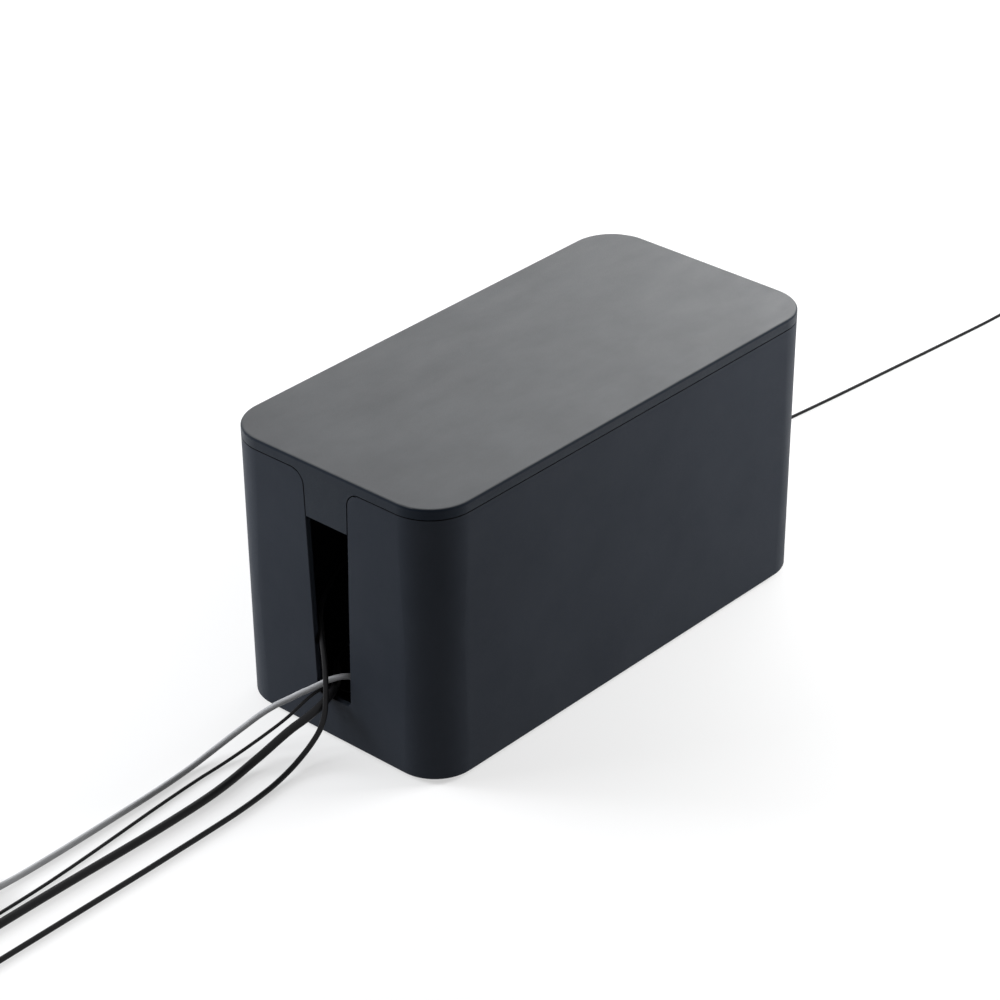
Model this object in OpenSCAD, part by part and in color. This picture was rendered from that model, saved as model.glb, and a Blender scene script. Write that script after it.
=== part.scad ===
// Cable box with a lift-off lid, the four-outlet strip and adapters that it hides,
// and the leads that leave through the slots in its two ends.
// X runs along the box, with the photographed slot at -X; Z is up from the feet.

/* [Box] */
// Length of the box over its top edge
box_length = 236; // [225:1:320]
// Width of the box over its top edge
box_width = 115; // [108:1:160]
// Height of the box with its lid, without the feet
box_height = 125; // [112:1:170]
// Thickness of the side and end walls
wall = 2.6; // [1.8:0.1:3.6]
// Thickness of the floor
floor_thickness = 2.6; // [1.8:0.1:4]
// Radius of the upright corners at the top edge
corner_radius = 20; // [12:0.5:26]
// How far each side leans in at the bottom edge
bottom_inset = 1.4; // [0.4:0.1:2]
// Bevel round the bottom edge
bottom_bevel = 0.8; // [0.3:0.1:1.5]

/* [Lid] */
// Height of the band that shows round the lid
lid_band = 4.5; // [3.5:0.1:8]
// Thickness of the lid's top
lid_top = 2.6; // [1.8:0.1:3.2]
// Radius along the lid's top edge
lid_edge_radius = 1.1; // [0.5:0.1:1.6]
// Gap at the seam and round the tongues
lid_gap = 0.4; // [0.3:0.05:0.8]
// How far the locating rib reaches below the seam
lid_rib_depth = 5; // [3:0.5:10]
// Thickness of the locating rib
lid_rib_thickness = 1.8; // [1.2:0.1:2.6]
// Gap between the rib and the walls
lid_rib_gap = 0.35; // [0.3:0.05:0.8]
// Depth of the tongue's lower edge below the lid's top
tongue_depth = 24.5; // [18:0.5:40]

/* [End slots] */
// Slot width where its sides meet the flare at the top
slot_top_width = 23.6; // [22:0.2:28]
// Slot width just above the sill
slot_sill_width = 18.2; // [18:0.2:21]
// Height of the sill above the box's bottom edge
slot_sill = 19; // [15:0.5:19]
// Radius at the sill's corners
slot_corner_radius = 2.6; // [1.5:0.1:4]
// Radius of the flare into the rim
slot_flare_radius = 6.5; // [4:0.25:9]

/* [Feet] */
// Diameter of each foot
foot_diameter = 14; // [10:0.5:20]
// How far the feet stand below the box
foot_height = 1.5; // [0.8:0.1:3]
// Depth of each foot's recess in the floor
foot_recess = 0.8; // [0.4:0.1:1.2]
// Bevel round each foot's lower edge
foot_bevel = 0.4; // [0.2:0.1:0.6]
// Distance of the feet from the ends
foot_end_inset = 26; // [20:1:40]
// Distance of the feet from the sides
foot_side_inset = 22; // [18:1:30]

/* [Outlet strip] */
// Number of outlets
outlet_count = 4; // [4:1:4]
// Room for the supply gland between the front wall and the strip
strip_front_gap = 52; // [46:0.5:56]
// Length of the bay that holds the switch and the reset button
switch_bay = 28; // [26:0.5:32]
// Width of the strip
strip_width = 42; // [38:0.5:46]
// Height of the strip's lower shell
strip_base_height = 14; // [13:0.5:18]
// Height of the strip's cover
strip_cover_height = 14; // [13:0.5:18]
// Wall of the strip's shells
strip_wall = 2; // [1.5:0.1:2.6]
// Radius of the strip's upright corners
strip_corner_radius = 7; // [6:0.5:9]
// Radius along the cover's top edge
strip_edge_radius = 1.6; // [0.8:0.1:1.9]
// Height of the pads under the strip
strip_pad_height = 1.2; // [0.8:0.1:2]
// Diameter of the pads under the strip
strip_pad_diameter = 9; // [6:0.5:12]
// Gap between the strip and the rear wall
strip_rear_gap = 4; // [3:0.5:6]
// Gap between the strip and the side wall
strip_side_gap = 2.5; // [1.5:0.5:5]

/* [Contacts] */
// Width of a plug blade
blade_width = 6.3; // [6:0.1:6.6]
// Thickness of a plug blade
blade_thickness = 1.5; // [1.3:0.1:1.7]
// Length of a plug blade
blade_length = 16.5; // [15:0.5:17.5]
// Spacing between the two blades
blade_pitch = 12.7; // [12:0.1:13.5]
// Thickness of the contact bars
bar_thickness = 0.8; // [0.6:0.1:1.2]
// Width of the contact bars
bar_width = 6; // [5:0.5:7]
// Height of the bars above the floor of the strip
bar_rise = 6; // [4:0.5:7]
// Height of the contact leaves
leaf_height = 9; // [7:0.5:11]
// Length of the contact leaves along the strip
leaf_length = 8; // [6:0.5:10]
// Thickness of the contact leaves
leaf_thickness = 0.6; // [0.4:0.1:0.9]

/* [Switch and reset] */
// Length of the rocker across the strip
rocker_length = 14; // [12:0.5:16]
// Width of the rocker along the strip
rocker_width = 9; // [8:0.5:11]
// Tilt of the rocker to either side of level, in degrees
rocker_tilt = 8; // [5:0.5:10]
// Radius of the rocker's pivot pins
rocker_pin_radius = 0.9; // [0.7:0.1:1.2]
// Width of the flange round the rocker
switch_flange = 2; // [1.5:0.1:2.5]
// Depth of the switch housing below the cover's top
switch_depth = 15; // [13:0.5:17]
// Diameter of the reset button
reset_diameter = 6.4; // [5:0.2:8]
// Travel of the reset button
reset_travel = 2; // [1:0.25:3]
// Diameter of the pilot lens
lens_diameter = 5; // [4:0.5:6]

/* [Adapters] */
// Gap between two large adapters in neighbouring outlets
large_adapter_gap = 6; // [3:0.5:10]
// Width of the two large adapters
large_adapter_width = 38; // [32:0.5:40]
// Height of the two large adapters
large_adapter_height = 42; // [34:0.5:46]
// Gap between two small adapters in neighbouring outlets
small_adapter_gap = 8; // [4:0.5:11]
// Width of the two small adapters
small_adapter_width = 28; // [26:0.5:34]
// Height of the two small adapters
small_adapter_height = 32; // [28:0.5:40]
// Wall of the adapters' cases
adapter_wall = 1.8; // [1.4:0.1:2.4]
// Radius of the adapters' upright corners
adapter_corner_radius = 4; // [3:0.5:6]
// Radius along the adapters' top edges
adapter_edge_radius = 2; // [1:0.25:2.5]
// Length of the relief where a lead leaves its adapter
relief_length = 9; // [7:0.5:12]

/* [Supply lead] */
// Diameter of the supply lead
supply_diameter = 3.5; // [3.2:0.1:3.8]
// Length of the supply lead from its gland to its plug
supply_length = 1500; // [1300:10:1800]
// Length of the gland outside the strip
gland_length = 22; // [20:0.5:24]
// Length of the supply plug's body
supply_plug_length = 26; // [22:0.5:32]
// Width of the supply plug's body
supply_plug_width = 22; // [20:0.5:26]
// Thickness of the supply plug's body
supply_plug_thickness = 13.6; // [12:0.2:16]

/* [Low-voltage leads] */
// Diameter of the gray lead
gray_diameter = 2.6; // [2.4:0.1:2.8]
// Length of the gray lead from its adapter to its plug
gray_length = 1000; // [850:10:1300]
// Diameter of the looped lead
loop_diameter = 2.3; // [2.1:0.1:2.5]
// Length of the looped lead from its adapter to its plug
loop_length = 1000; // [850:10:1300]
// Diameter of the thin lead
thin_diameter = 1.4; // [1.2:0.1:1.6]
// Length of the thin lead from its adapter to its plug
thin_length = 1000; // [850:10:1200]
// Diameter of the rear lead
rear_diameter = 1.5; // [1.3:0.1:1.7]
// Length of the rear lead from its adapter to its plug
rear_length = 1000; // [850:10:1200]
// Length of the barrel plugs' grips
plug_grip_length = 20; // [16:0.5:26]
// Diameter of the grips on the gray and looped leads
large_grip_diameter = 10.6; // [9:0.2:12]
// Diameter of the grips on the thin and rear leads
small_grip_diameter = 7.6; // [6.6:0.2:9]
// Length of the barrel plugs' metal sleeves
plug_barrel_length = 9.5; // [8:0.5:12]
// Diameter of the sleeves on the gray and looped leads
large_barrel_diameter = 5.5; // [5:0.1:6]
// Bore of the sleeves on the gray and looped leads
large_barrel_bore = 2.1; // [1.7:0.1:2.5]
// Diameter of the sleeves on the thin and rear leads
small_barrel_diameter = 3.5; // [3.2:0.1:4]
// Bore of the sleeves on the thin and rear leads
small_barrel_bore = 1.4; // [1.1:0.1:1.7]

/* [Coils] */
// Gap between the turns of a coil
coil_gap = 0.5; // [0.45:0.05:0.8]
// Thickness of the coil ties
tie_thickness = 0.8; // [0.6:0.1:1.2]
// Width of the ties on the supply, gray and looped leads
large_tie_width = 6; // [4:0.5:10]
// Width of the ties on the thin and rear leads
small_tie_width = 2; // [1.4:0.1:2.4]
// Gap between a coil and its tie
tie_gap = 0.3; // [0.2:0.05:0.5]

/* [Hidden] */
$fn = 64;

// Colours that several sub-parts share
black_tint = "#1a1b1e";
gray_tint = "#8c8d8f";
metal_tint = "#c9ccd1";
pad_tint = "#1c1c1e";

// Clearances and small sizes
overrun = 1;
fit_gap = 0.3;
seat_gap = 0.2;
pin_gap = 0.07;
contact_gap = 0.2;

// Box levels and outline
box_top = foot_height + box_height;
rim = box_top - lid_band - lid_gap;
seam_top = rim + lid_gap;
deck = foot_height + floor_thickness;
sill = foot_height + slot_sill;
tongue_bottom = box_top - tongue_depth;
corner_x = box_length / 2 - corner_radius;
corner_y = box_width / 2 - corner_radius;
function lean(z) = bottom_inset * (box_top - z) / box_height;
inner_half_x = box_length / 2 - lean(deck) - wall;
inner_half_y = box_width / 2 - lean(deck) - wall;

// Strip levels and places
strip_x0 = strip_front_gap - inner_half_x;
strip_x1 = inner_half_x - strip_rear_gap;
strip_x = (strip_x0 + strip_x1) / 2;
strip_length = strip_x1 - strip_x0;
outlet_pitch = (strip_length - switch_bay) / outlet_count;
strip_y = inner_half_y - strip_side_gap - strip_width / 2;
strip_bottom = deck + strip_pad_height;
strip_split = strip_bottom + strip_base_height;
strip_top = strip_split + strip_cover_height;
strip_floor = strip_bottom + strip_wall;
bar_bottom = strip_floor + bar_rise;
bar_top = bar_bottom + bar_thickness;
outlets_x0 = strip_x0 + switch_bay;
bar_length = strip_length - switch_bay - 2 * strip_wall;
function outlet_x(i) = outlets_x0 + (i + 1 / 2) * outlet_pitch;

// Strip screws
post_radius = 3.2;
screw_radius = 1.2;
screw_head_radius = 2.5;
screw_head_height = 1.8;
screw_head_seat = 2.4;
screw_length = 17;
post_inset = strip_wall + post_radius;
post_x = strip_length / 2 - post_inset;
post_y = strip_width / 2 - post_inset;

// Switch, reset button and lens
bay_x = strip_x0 + switch_bay / 2;
rocker_shift = 5;
reset_shift = 12;
rocker_y = strip_y + rocker_shift;
reset_y = strip_y - reset_shift;
lens_shift = 9;
switch_wall = 1.2;
flange_height = 1.2;
rocker_ridge = 2.2;
rocker_depth = 4;
rocker_reach = rocker_length / 2;
sleeve_length = rocker_length + 2 * (fit_gap + switch_wall);
sleeve_width = rocker_width + 2 * (fit_gap + switch_wall);
terminal_length = 4;
terminal_width = 4;
terminal_thickness = 0.8;
reset_wall = 1.4;
reset_lip = 1.2;
reset_stand = 3.4;
reset_depth = 9;
reset_edge_radius = 1.1;
lens_depth = 4;

// Supply gland
gland_shift = 7.5;
gland_y = strip_y - gland_shift;
gland_root = 5;
gland_neck = 3.6;
gland_lip = 1.2;
gland_flange = 1.6;
gland_tip_wall = 0.8;
groove_depth = 0.6;
groove_width = 1;

// Adapters
adapter_bottom = strip_top + fit_gap;
adapter_base_height = 3;
lead_height_share = 0.6;
blade_head = 1.5;
relief_wall = 1.6;
relief_tip_wall = 0.5;
relief_lip = 1.2;
relief_flange = 1.2;
large_adapter = [outlet_pitch - large_adapter_gap, large_adapter_width, large_adapter_height];
small_adapter = [outlet_pitch - small_adapter_gap, small_adapter_width, small_adapter_height];
adapter_sizes = [large_adapter, small_adapter, large_adapter, small_adapter];
lead_diameters = [loop_diameter, thin_diameter, gray_diameter, rear_diameter];
function lead_z(i) = adapter_bottom + lead_height_share * adapter_sizes[i][2];
// The looped lead leaves towards the front slot, and the others towards the open side
function relief_base(i) =
  i == 0 ? [outlet_x(i) - adapter_sizes[i][0] / 2, strip_y, lead_z(i)]
  : [outlet_x(i), strip_y - adapter_sizes[i][1] / 2, lead_z(i)];
function relief_way(i) = i == 0 ? [-1, 0, 0] : [0, -1, 0];
function relief_mouth(i) = relief_base(i) + relief_length * relief_way(i);
gland_mouth = [strip_x0 - gland_length, gland_y, strip_split];

// Plugs on the ends of the leads
plug_wall = 1.1;
plug_taper = 8;
barrel_web = 0.8;
plug_corner_radius = 3;
plug_edge_radius = 1.4;
plug_neck_length = 7;
plug_neck_wall = 1.6;

// Coils
coil_size_share = 11.2;
coil_layers = 4;
tail_share = 3;
descent_share = 7.5;
tail_samples = 6;
rings_per_turn = 14;
coil_sides = 6;
run_sides = 8;
tie_corner = 1;

// Routes of the leads: from the strip or an adapter, out through a slot, to the coil
supply_route = [
  [-91.3, 22, 19.5], [-95.1, 20.4, 20.2], [-98.5, 17.6, 21.1], [-101.6, 14, 22],
  [-104.9, 10, 22.8], [-108.7, 6.2, 23.3], [-113, 3.1, 23.5], [-117.2, 1.3, 23], [-121.4, 0.8, 21.6],
  [-125.7, 1.6, 19.2], [-130, 3.8, 16], [-134.6, 6.8, 12.4], [-139.8, 9.3, 8.5],
  [-146.2, 11, 5], [-154, 11.7, 2.6], [-163, 10.9, 1.75],
  [-173, 9.6, 1.75], [-184, 8.8, 1.75], [-198, 8.4, 1.75], [-213, 8.3, 1.75], [-230, 8.5, 1.75],
  [-248, 8.8, 1.75], [-268, 9, 1.75], [-288, 9, 1.75], [-308, 9, 1.8], [-328, 9, 2.2],
  [-346, 9, 2.7], [-360, 9, 2.85], [-364, 9, 2.85]
];
gray_route = [
  [56, -3.4, 58.5], [55.6, -6.7, 56.2], [54.8, -8.2, 51.6], [53.6, -7.8, 45.4], [51.8, -6.2, 37],
  [49.4, -4.2, 28], [45.6, -2.4, 19], [39.6, -0.9, 11.6], [31, -0.2, 7.2], [20, 0, 5.7],
  [5, 0, 5.5], [-25, -0.3, 5.5], [-55, -1.6, 5.5], [-72, -2.8, 6.6],
  [-86, -3.8, 11.4], [-96, -3.8, 18.2], [-103, -2.4, 23.8], [-109, 0.4, 27.5], [-114, 3.8, 27.2],
  [-118, 6.2, 25.8], [-121.5, 8.6, 24.2], [-124.5, 11.1, 22.6], [-128, 14.3, 20.2],
  [-132, 17.9, 17.6], [-137, 21.5, 14.2], [-143, 24.5, 10.4], [-150, 27.2, 6.6], [-158, 29.1, 3.4],
  [-168, 29.4, 1.6], [-180, 28.6, 1.3], [-195, 27.8, 1.3], [-212, 27.3, 1.3], [-230, 26.8, 1.3],
  [-248, 26.5, 1.3], [-264, 26.5, 1.4], [-276, 26.5, 2], [-284, 26.5, 2.4], [-287, 26.5, 2.4]
];
loop_route = [
  [-49, 30, 58.9], [-58, 29.9, 59.2], [-68, 29.4, 59], [-78, 28, 58.2], [-87, 25.8, 57],
  [-95, 23, 55.1], [-102, 19.6, 52.7], [-108, 15.2, 49.7], [-112.2, 10.6, 46.8],
  [-115.6, 6.8, 43.9], [-118.5, 3.2, 40.2], [-120.9, 0.4, 35.5], [-122.9, -1.6, 29.8],
  [-124.4, -2.7, 24], [-125.8, -2.9, 18], [-128, -2.4, 12.6], [-131.9, -1.7, 8],
  [-137.8, -1.7, 4.6], [-145.5, -2.5, 2.4], [-155, -3.8, 1.3], [-166, -5.2, 1.15],
  [-179, -6.2, 1.15], [-194, -6.6, 1.15], [-210, -6.8, 1.15], [-228, -7, 1.15], [-247, -7, 1.15],
  [-267, -7, 1.15], [-287, -7, 1.15], [-307, -7, 1.2], [-323, -7, 1.6], [-335, -7, 2.2],
  [-338, -7, 2.2]
];
thin_route = [
  [20, 3.8, 52.6], [19.8, 1.4, 51], [19.2, 0.6, 47.6], [18, 1, 40], [15.8, 2.4, 30], [12, 4.2, 20],
  [7, 5.2, 12], [0, 5.6, 7], [-10, 5.6, 5.1], [-24, 5.6, 4.85], [-47, 5.6, 4.8],
  [-70, 5.8, 4.9], [-82, 6.6, 5.5], [-92, 8.2, 7.2], [-99.5, 9.4, 10.8], [-105.5, 9.5, 15.4],
  [-110.5, 8.6, 19.6], [-116, 7.3, 22.1], [-119.2, 7.8, 21.8], [-122.2, 9, 20.2],
  [-125.4, 10.4, 17.7], [-129, 12.1, 14.6], [-133, 14.5, 11.1], [-138, 17.3, 7.5],
  [-144, 19.7, 4.4], [-151, 21.3, 2.2], [-160, 22.1, 0.9], [-172, 22, 0.7], [-186, 21.2, 0.7],
  [-202, 20, 0.7], [-220, 18.4, 0.7], [-238, 16.9, 0.7], [-256, 15.7, 0.7], [-274, 15.1, 0.7],
  [-292, 15, 0.7], [-306, 15, 1], [-317, 15, 1.8], [-319, 15, 1.8]
];
rear_route = [
  [92.2, 3.6, 52.5], [93, 1.2, 50.6], [95, -0.5, 47], [98, -1.4, 42], [101.8, -1.4, 36.2],
  [106.2, -0.8, 30.4], [111, 0.3, 25.2], [116.8, 1.9, 21.8], [122, 4.4, 18.6], [127, 7.6, 14.4],
  [132.6, 11.4, 9.8], [139, 15.7, 5.6], [147, 20.4, 2.3], [157, 24.7, 0.9], [169, 27.7, 0.75],
  [183, 28.5, 0.75], [200, 27.4, 0.75], [218, 25.4, 0.75], [238, 23.2, 0.75], [260, 21, 0.75],
  [284, 18.8, 0.75], [308, 16.5, 0.75], [332, 14.3, 0.75], [356, 12.1, 0.9], [376, 10.2, 1.7],
  [380, 9.8, 1.85]
];
// Winding of each coil: 1 to the left of the lead's heading or -1 to its right, the part of a
// turn past the whole ones that its plug's end makes, and the part of a turn from its start to its tie
supply_turn = [-1, 1 / 4, 1 / 2];
gray_turn = [-1, 1 / 4, 1 / 2];
loop_turn = [1, 0, 1 / 2];
thin_turn = [-1, 1 / 4, 1 / 2];
rear_turn = [-1, 1 / 4, 1 / 2];

// Smooth curve through a route's points, with its samples between each pair
samples = 2;
function curve_at(a, b, c, d, t) =
  b + ((c - a) * t + (2 * a - 5 * b + 4 * c - d) * t * t + (3 * b - 3 * c + d - a) * t * t * t) / 2;
function smooth(p) = [
  for (i = [0 : len(p) - 2], s = [0 : samples - 1])
    curve_at(p[max(i - 1, 0)], p[i], p[i + 1], p[min(i + 2, len(p) - 1)], s / samples),
  p[len(p) - 1]
];
function unit(v) = v / norm(v);
function path_length(p) =
  let (steps = [for (i = [1 : len(p) - 1]) norm(p[i] - p[i - 1])])
  steps * [for (s = steps) 1];

// Run of a lead, straight out of its exit for one diameter
function run_path(mouth, way, route, diameter) = smooth(concat([mouth, mouth + diameter * way], route));
supply_path = run_path(gland_mouth, [-1, 0, 0], supply_route, supply_diameter);
gray_path = run_path(relief_mouth(2), relief_way(2), gray_route, gray_diameter);
loop_path = run_path(relief_mouth(0), relief_way(0), loop_route, loop_diameter);
thin_path = run_path(relief_mouth(1), relief_way(1), thin_route, thin_diameter);
rear_path = run_path(relief_mouth(3), relief_way(3), rear_route, rear_diameter);

// Coil in an even number of layers: it winds inwards on the lowest, climbs in the half turn
// where it reverses, winds outwards on the next, and so on to the top. From there its end goes
// straight for a few diameters and then comes down beside the coil to the height of its plug.
function coil_length(run, length, diameter) =
  length - path_length(run) - (2 + tail_share + descent_share) * diameter;
function coil_turns(run, length, diameter, turn) =
  round(coil_length(run, length, diameter) / (PI * coil_size_share * diameter) - turn[1]) + turn[1];
function coil_radius(run, length, diameter, turn) =
  coil_length(run, length, diameter) / (2 * PI * coil_turns(run, length, diameter, turn));
function coil_spread(run, length, diameter, turn) =
  (diameter + coil_gap) * coil_turns(run, length, diameter, turn) / (2 * coil_layers);
function heading(run) = let (w = run[len(run) - 1] - run[len(run) - 2]) atan2(w[1], w[0]);
function along(angle) = [cos(angle), sin(angle), 0];
function ease(x) = let (c = min(max(x, 0), 1)) c * c * (3 - 2 * c);
function coil_middle(run, length, diameter, turn) =
  let (outer = coil_radius(run, length, diameter, turn) + coil_spread(run, length, diameter, turn))
  run[len(run) - 1] + diameter * along(heading(run)) + outer * along(heading(run) + turn[0] * 90);
function coil_path(run, length, diameter, turn, plug_height) =
  let (turns = coil_turns(run, length, diameter, turn))
  let (pitch = diameter + coil_gap)
  let (middle = coil_middle(run, length, diameter, turn))
  let (spread = coil_spread(run, length, diameter, turn))
  let (inner = coil_radius(run, length, diameter, turn) - spread)
  let (first = heading(run) - turn[0] * 90)
  let (last = first + turn[0] * 360 * turns)
  let (count = ceil(turns * rings_per_turn))
  let (wound = [
    for (i = [0 : count])
      let (t = turns * i / count)
      let (layer = coil_layers * i / count)
      let (climbs = [for (j = [1 : coil_layers - 1]) ease(2 * (t - j * turns / coil_layers) + 1 / 2)])
      middle + (inner + 2 * spread * abs(layer % 2 - 1)) * along(first + turn[0] * 360 * t)
        + [0, 0, pitch * (climbs * [for (c = climbs) 1])]
  ])
  let (drop = wound[count][2] - plug_height)
  let (out = diameter * along(last + turn[0] * 90))
  let (tail = [
    for (k = [0 : tail_samples])
      wound[count] + (tail_share + descent_share * k / tail_samples) * out
        - [0, 0, drop * ease(k / tail_samples)]
  ])
  concat([run[len(run) - 1]], wound, tail, [tail[tail_samples] + out]);
// Least gap between turns: points at least three quarters of a turn apart along the coil
function least_gap(p, diameter) =
  let (skip = ceil(rings_per_turn * 3 / 4))
  min([for (i = [0 : len(p) - 1 - skip], j = [i + skip : len(p) - 1]) norm(p[i] - p[j])]) - diameter;

supply_wound = coil_path(supply_path, supply_length, supply_diameter, supply_turn,
  supply_plug_thickness / 2);
gray_wound = coil_path(gray_path, gray_length, gray_diameter, gray_turn,
  large_grip_diameter / 2);
loop_wound = coil_path(loop_path, loop_length, loop_diameter, loop_turn,
  large_grip_diameter / 2);
thin_wound = coil_path(thin_path, thin_length, thin_diameter, thin_turn,
  small_grip_diameter / 2);
rear_wound = coil_path(rear_path, rear_length, rear_diameter, rear_turn,
  small_grip_diameter / 2);

// Round tube swept along points, with its sections kept from twisting
module tube(p, diameter, sides) {
  n = len(p);
  way = [for (i = [0 : n - 1]) unit(p[min(i + 1, n - 1)] - p[max(i - 1, 0)])];
  start = unit(cross(way[0], abs(way[0][2]) < 1 / 2 ? [0, 0, 1] : [0, 1, 0]));
  side = [for (i = 0, s = start; i < n; i = i + 1, s = i < n ? unit(s - (s * way[i]) * way[i]) : s) s];
  rings = [
    for (i = [0 : n - 1], j = [0 : sides - 1])
      p[i] + diameter / 2 * (cos(360 * j / sides) * side[i] + sin(360 * j / sides) * cross(way[i], side[i]))
  ];
  walls = [
    for (i = [0 : n - 2], j = [0 : sides - 1], k = [0, 1])
      let (a = i * sides + j)
      let (b = i * sides + (j + 1) % sides)
      k == 0 ? [a, a + sides, b + sides] : [a, b + sides, b]
  ];
  first_end = [for (j = [1 : sides - 2]) [0, j, j + 1]];
  last_end = [for (j = [1 : sides - 2]) [(n - 1) * sides, (n - 1) * sides + j + 1, (n - 1) * sides + j]];
  polyhedron(points = rings, faces = concat(walls, first_end, last_end), convexity = 8);
}

// Flat outline with round corners
module rounded_outline(length, width, radius) {
  square([length - 2 * radius, width], center = true);
  square([length, width - 2 * radius], center = true);
  for (x = [-1, 1], y = [-1, 1])
    translate([x * (length / 2 - radius), y * (width / 2 - radius)])
      circle(r = radius);
}

// Outline of a rounded edge: a bar as high as the radius, round on its outer side
module edge_outline(reach, radius) {
  square([reach - radius, radius]);
  translate([reach - radius, 0])
    intersection() {
      circle(r = radius);
      square([radius, radius]);
    }
}

// Block with round upright corners and a rounded top edge, standing on z = 0
module soft_block(length, width, height, corner, edge) {
  flat = height - edge;
  linear_extrude(flat)
    rounded_outline(length, width, corner);
  translate([0, 0, flat]) {
    for (x = [-1, 1], y = [-1, 1])
      translate([x * (length / 2 - corner), y * (width / 2 - corner), 0])
        rotate_extrude()
          edge_outline(corner, edge);
    for (m = [0, 1])
      mirror([m, 0, 0])
        rotate([90, 0, 0])
          linear_extrude(width - 2 * corner, center = true)
            edge_outline(length / 2, edge);
    for (m = [0, 1])
      mirror([0, m, 0])
        rotate([90, 0, 90])
          linear_extrude(length - 2 * corner, center = true)
            edge_outline(width / 2, edge);
  }
}

// Part of the box's drafted form between two levels, drawn in by an inset at each
module drafted_block(z0, z1, inset0, inset1) {
  r0 = corner_radius - inset0;
  r1 = corner_radius - inset1;
  rotate([90, 0, 0])
    linear_extrude(2 * corner_y, center = true)
      polygon([[-corner_x - r0, z0], [corner_x + r0, z0], [corner_x + r1, z1], [-corner_x - r1, z1]]);
  rotate([90, 0, 90])
    linear_extrude(2 * corner_x, center = true)
      polygon([[-corner_y - r0, z0], [corner_y + r0, z0], [corner_y + r1, z1], [-corner_y - r1, z1]]);
  for (x = [-corner_x, corner_x], y = [-corner_y, corner_y])
    translate([x, y, z0])
      cylinder(h = z1 - z0, r1 = r0, r2 = r1);
}

// Outline of an end slot in Y and Z, up to a level at or above the rim.
// The tongue is the same outline drawn in by the gap.
module slot_outline(top, gap) {
  sill_half = slot_sill_width / 2 - gap;
  top_half = slot_top_width / 2 - gap;
  flare_y = slot_top_width / 2 + slot_flare_radius;
  flare_z = rim - slot_flare_radius;
  corner = slot_corner_radius;
  polygon([
    [-sill_half, sill + corner], [sill_half, sill + corner], [top_half, flare_z],
    [top_half, top], [-top_half, top], [-top_half, flare_z]
  ]);
  translate([corner - sill_half, sill])
    square([2 * (sill_half - corner), corner + overrun]);
  for (s = [-1, 1])
    translate([s * (sill_half - corner), sill + corner])
      circle(r = corner);
  for (m = [0, 1])
    mirror([m, 0])
      difference() {
        translate([top_half - overrun, flare_z])
          square([flare_y - top_half + overrun, top - flare_z]);
        translate([flare_y, flare_z])
          circle(r = slot_flare_radius + gap);
      }
}

module through_ends(reach) {
  for (m = [0, 1])
    mirror([m, 0, 0])
      translate([reach, 0, 0])
        rotate([90, 0, 90])
          linear_extrude(box_length)
            children();
}

// Box
module foot_places() {
  for (x = [-1, 1], y = [-1, 1])
    translate([x * (box_length / 2 - foot_end_inset), y * (box_width / 2 - foot_side_inset), 0])
      children();
}

module box_body() {
  color("#3a3c42")
    difference() {
      union() {
        drafted_block(foot_height, foot_height + bottom_bevel,
          bottom_inset + bottom_bevel, lean(foot_height + bottom_bevel));
        drafted_block(foot_height + bottom_bevel, rim, lean(foot_height + bottom_bevel), lean(rim));
      }
      drafted_block(deck, rim + overrun, lean(deck) + wall, lean(rim + overrun) + wall);
      through_ends(corner_x)
        slot_outline(rim + overrun, 0);
      foot_places()
        cylinder(h = foot_height + foot_recess, d = foot_diameter + 2 * fit_gap);
    }
}

module foot(x, y) {
  color(pad_tint)
    translate([x * (box_length / 2 - foot_end_inset), y * (box_width / 2 - foot_side_inset), 0]) {
      cylinder(h = foot_bevel, r1 = foot_diameter / 2 - foot_bevel, r2 = foot_diameter / 2);
      translate([0, 0, foot_bevel])
        cylinder(h = foot_height + foot_recess - foot_bevel, d = foot_diameter);
    }
}

// Lid: a shallow cap with a locating rib inside the walls and a tongue in each slot
module lid() {
  rib_bottom = rim - lid_rib_depth;
  rib_inset = wall + lid_rib_gap + lean(rib_bottom);
  recess_top = box_top - lid_top;
  color("#6e7073") {
    difference() {
      translate([0, 0, seam_top])
        soft_block(box_length, box_width, lid_band, corner_radius, lid_edge_radius);
      translate([0, 0, seam_top - overrun])
        linear_extrude(recess_top - seam_top + overrun)
          rounded_outline(box_length - 2 * wall, box_width - 2 * wall, corner_radius - wall);
    }
    translate([0, 0, rib_bottom])
      linear_extrude(recess_top - rib_bottom + lid_top / 2)
        difference() {
          rounded_outline(box_length - 2 * rib_inset, box_width - 2 * rib_inset, corner_radius - rib_inset);
          rounded_outline(box_length - 2 * (rib_inset + lid_rib_thickness),
            box_width - 2 * (rib_inset + lid_rib_thickness),
            corner_radius - rib_inset - lid_rib_thickness);
        }
    difference() {
      intersection() {
        drafted_block(tongue_bottom, recess_top, lean(tongue_bottom), lean(recess_top));
        through_ends(corner_x)
          slot_outline(recess_top, lid_gap);
      }
      drafted_block(tongue_bottom - overrun, rib_bottom,
        lean(tongue_bottom - overrun) + wall, lean(rib_bottom) + wall);
      translate([0, 0, rib_bottom - overrun])
        linear_extrude(box_height)
          rounded_outline(box_length - 2 * (rib_inset + lid_rib_thickness / 2),
            box_width - 2 * (rib_inset + lid_rib_thickness / 2),
            corner_radius - rib_inset - lid_rib_thickness / 2);
    }
  }
}

// Strip
module post_places() {
  translate([strip_x, strip_y, 0])
    for (x = [-1, 1], y = [-1, 1])
      translate([x * post_x, y * post_y, 0])
        children();
}

module gland_hole() {
  translate([strip_x0 - overrun, gland_y, strip_split])
    rotate([0, 90, 0])
      cylinder(h = strip_wall + 2 * overrun, r = gland_neck + seat_gap);
}

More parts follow.
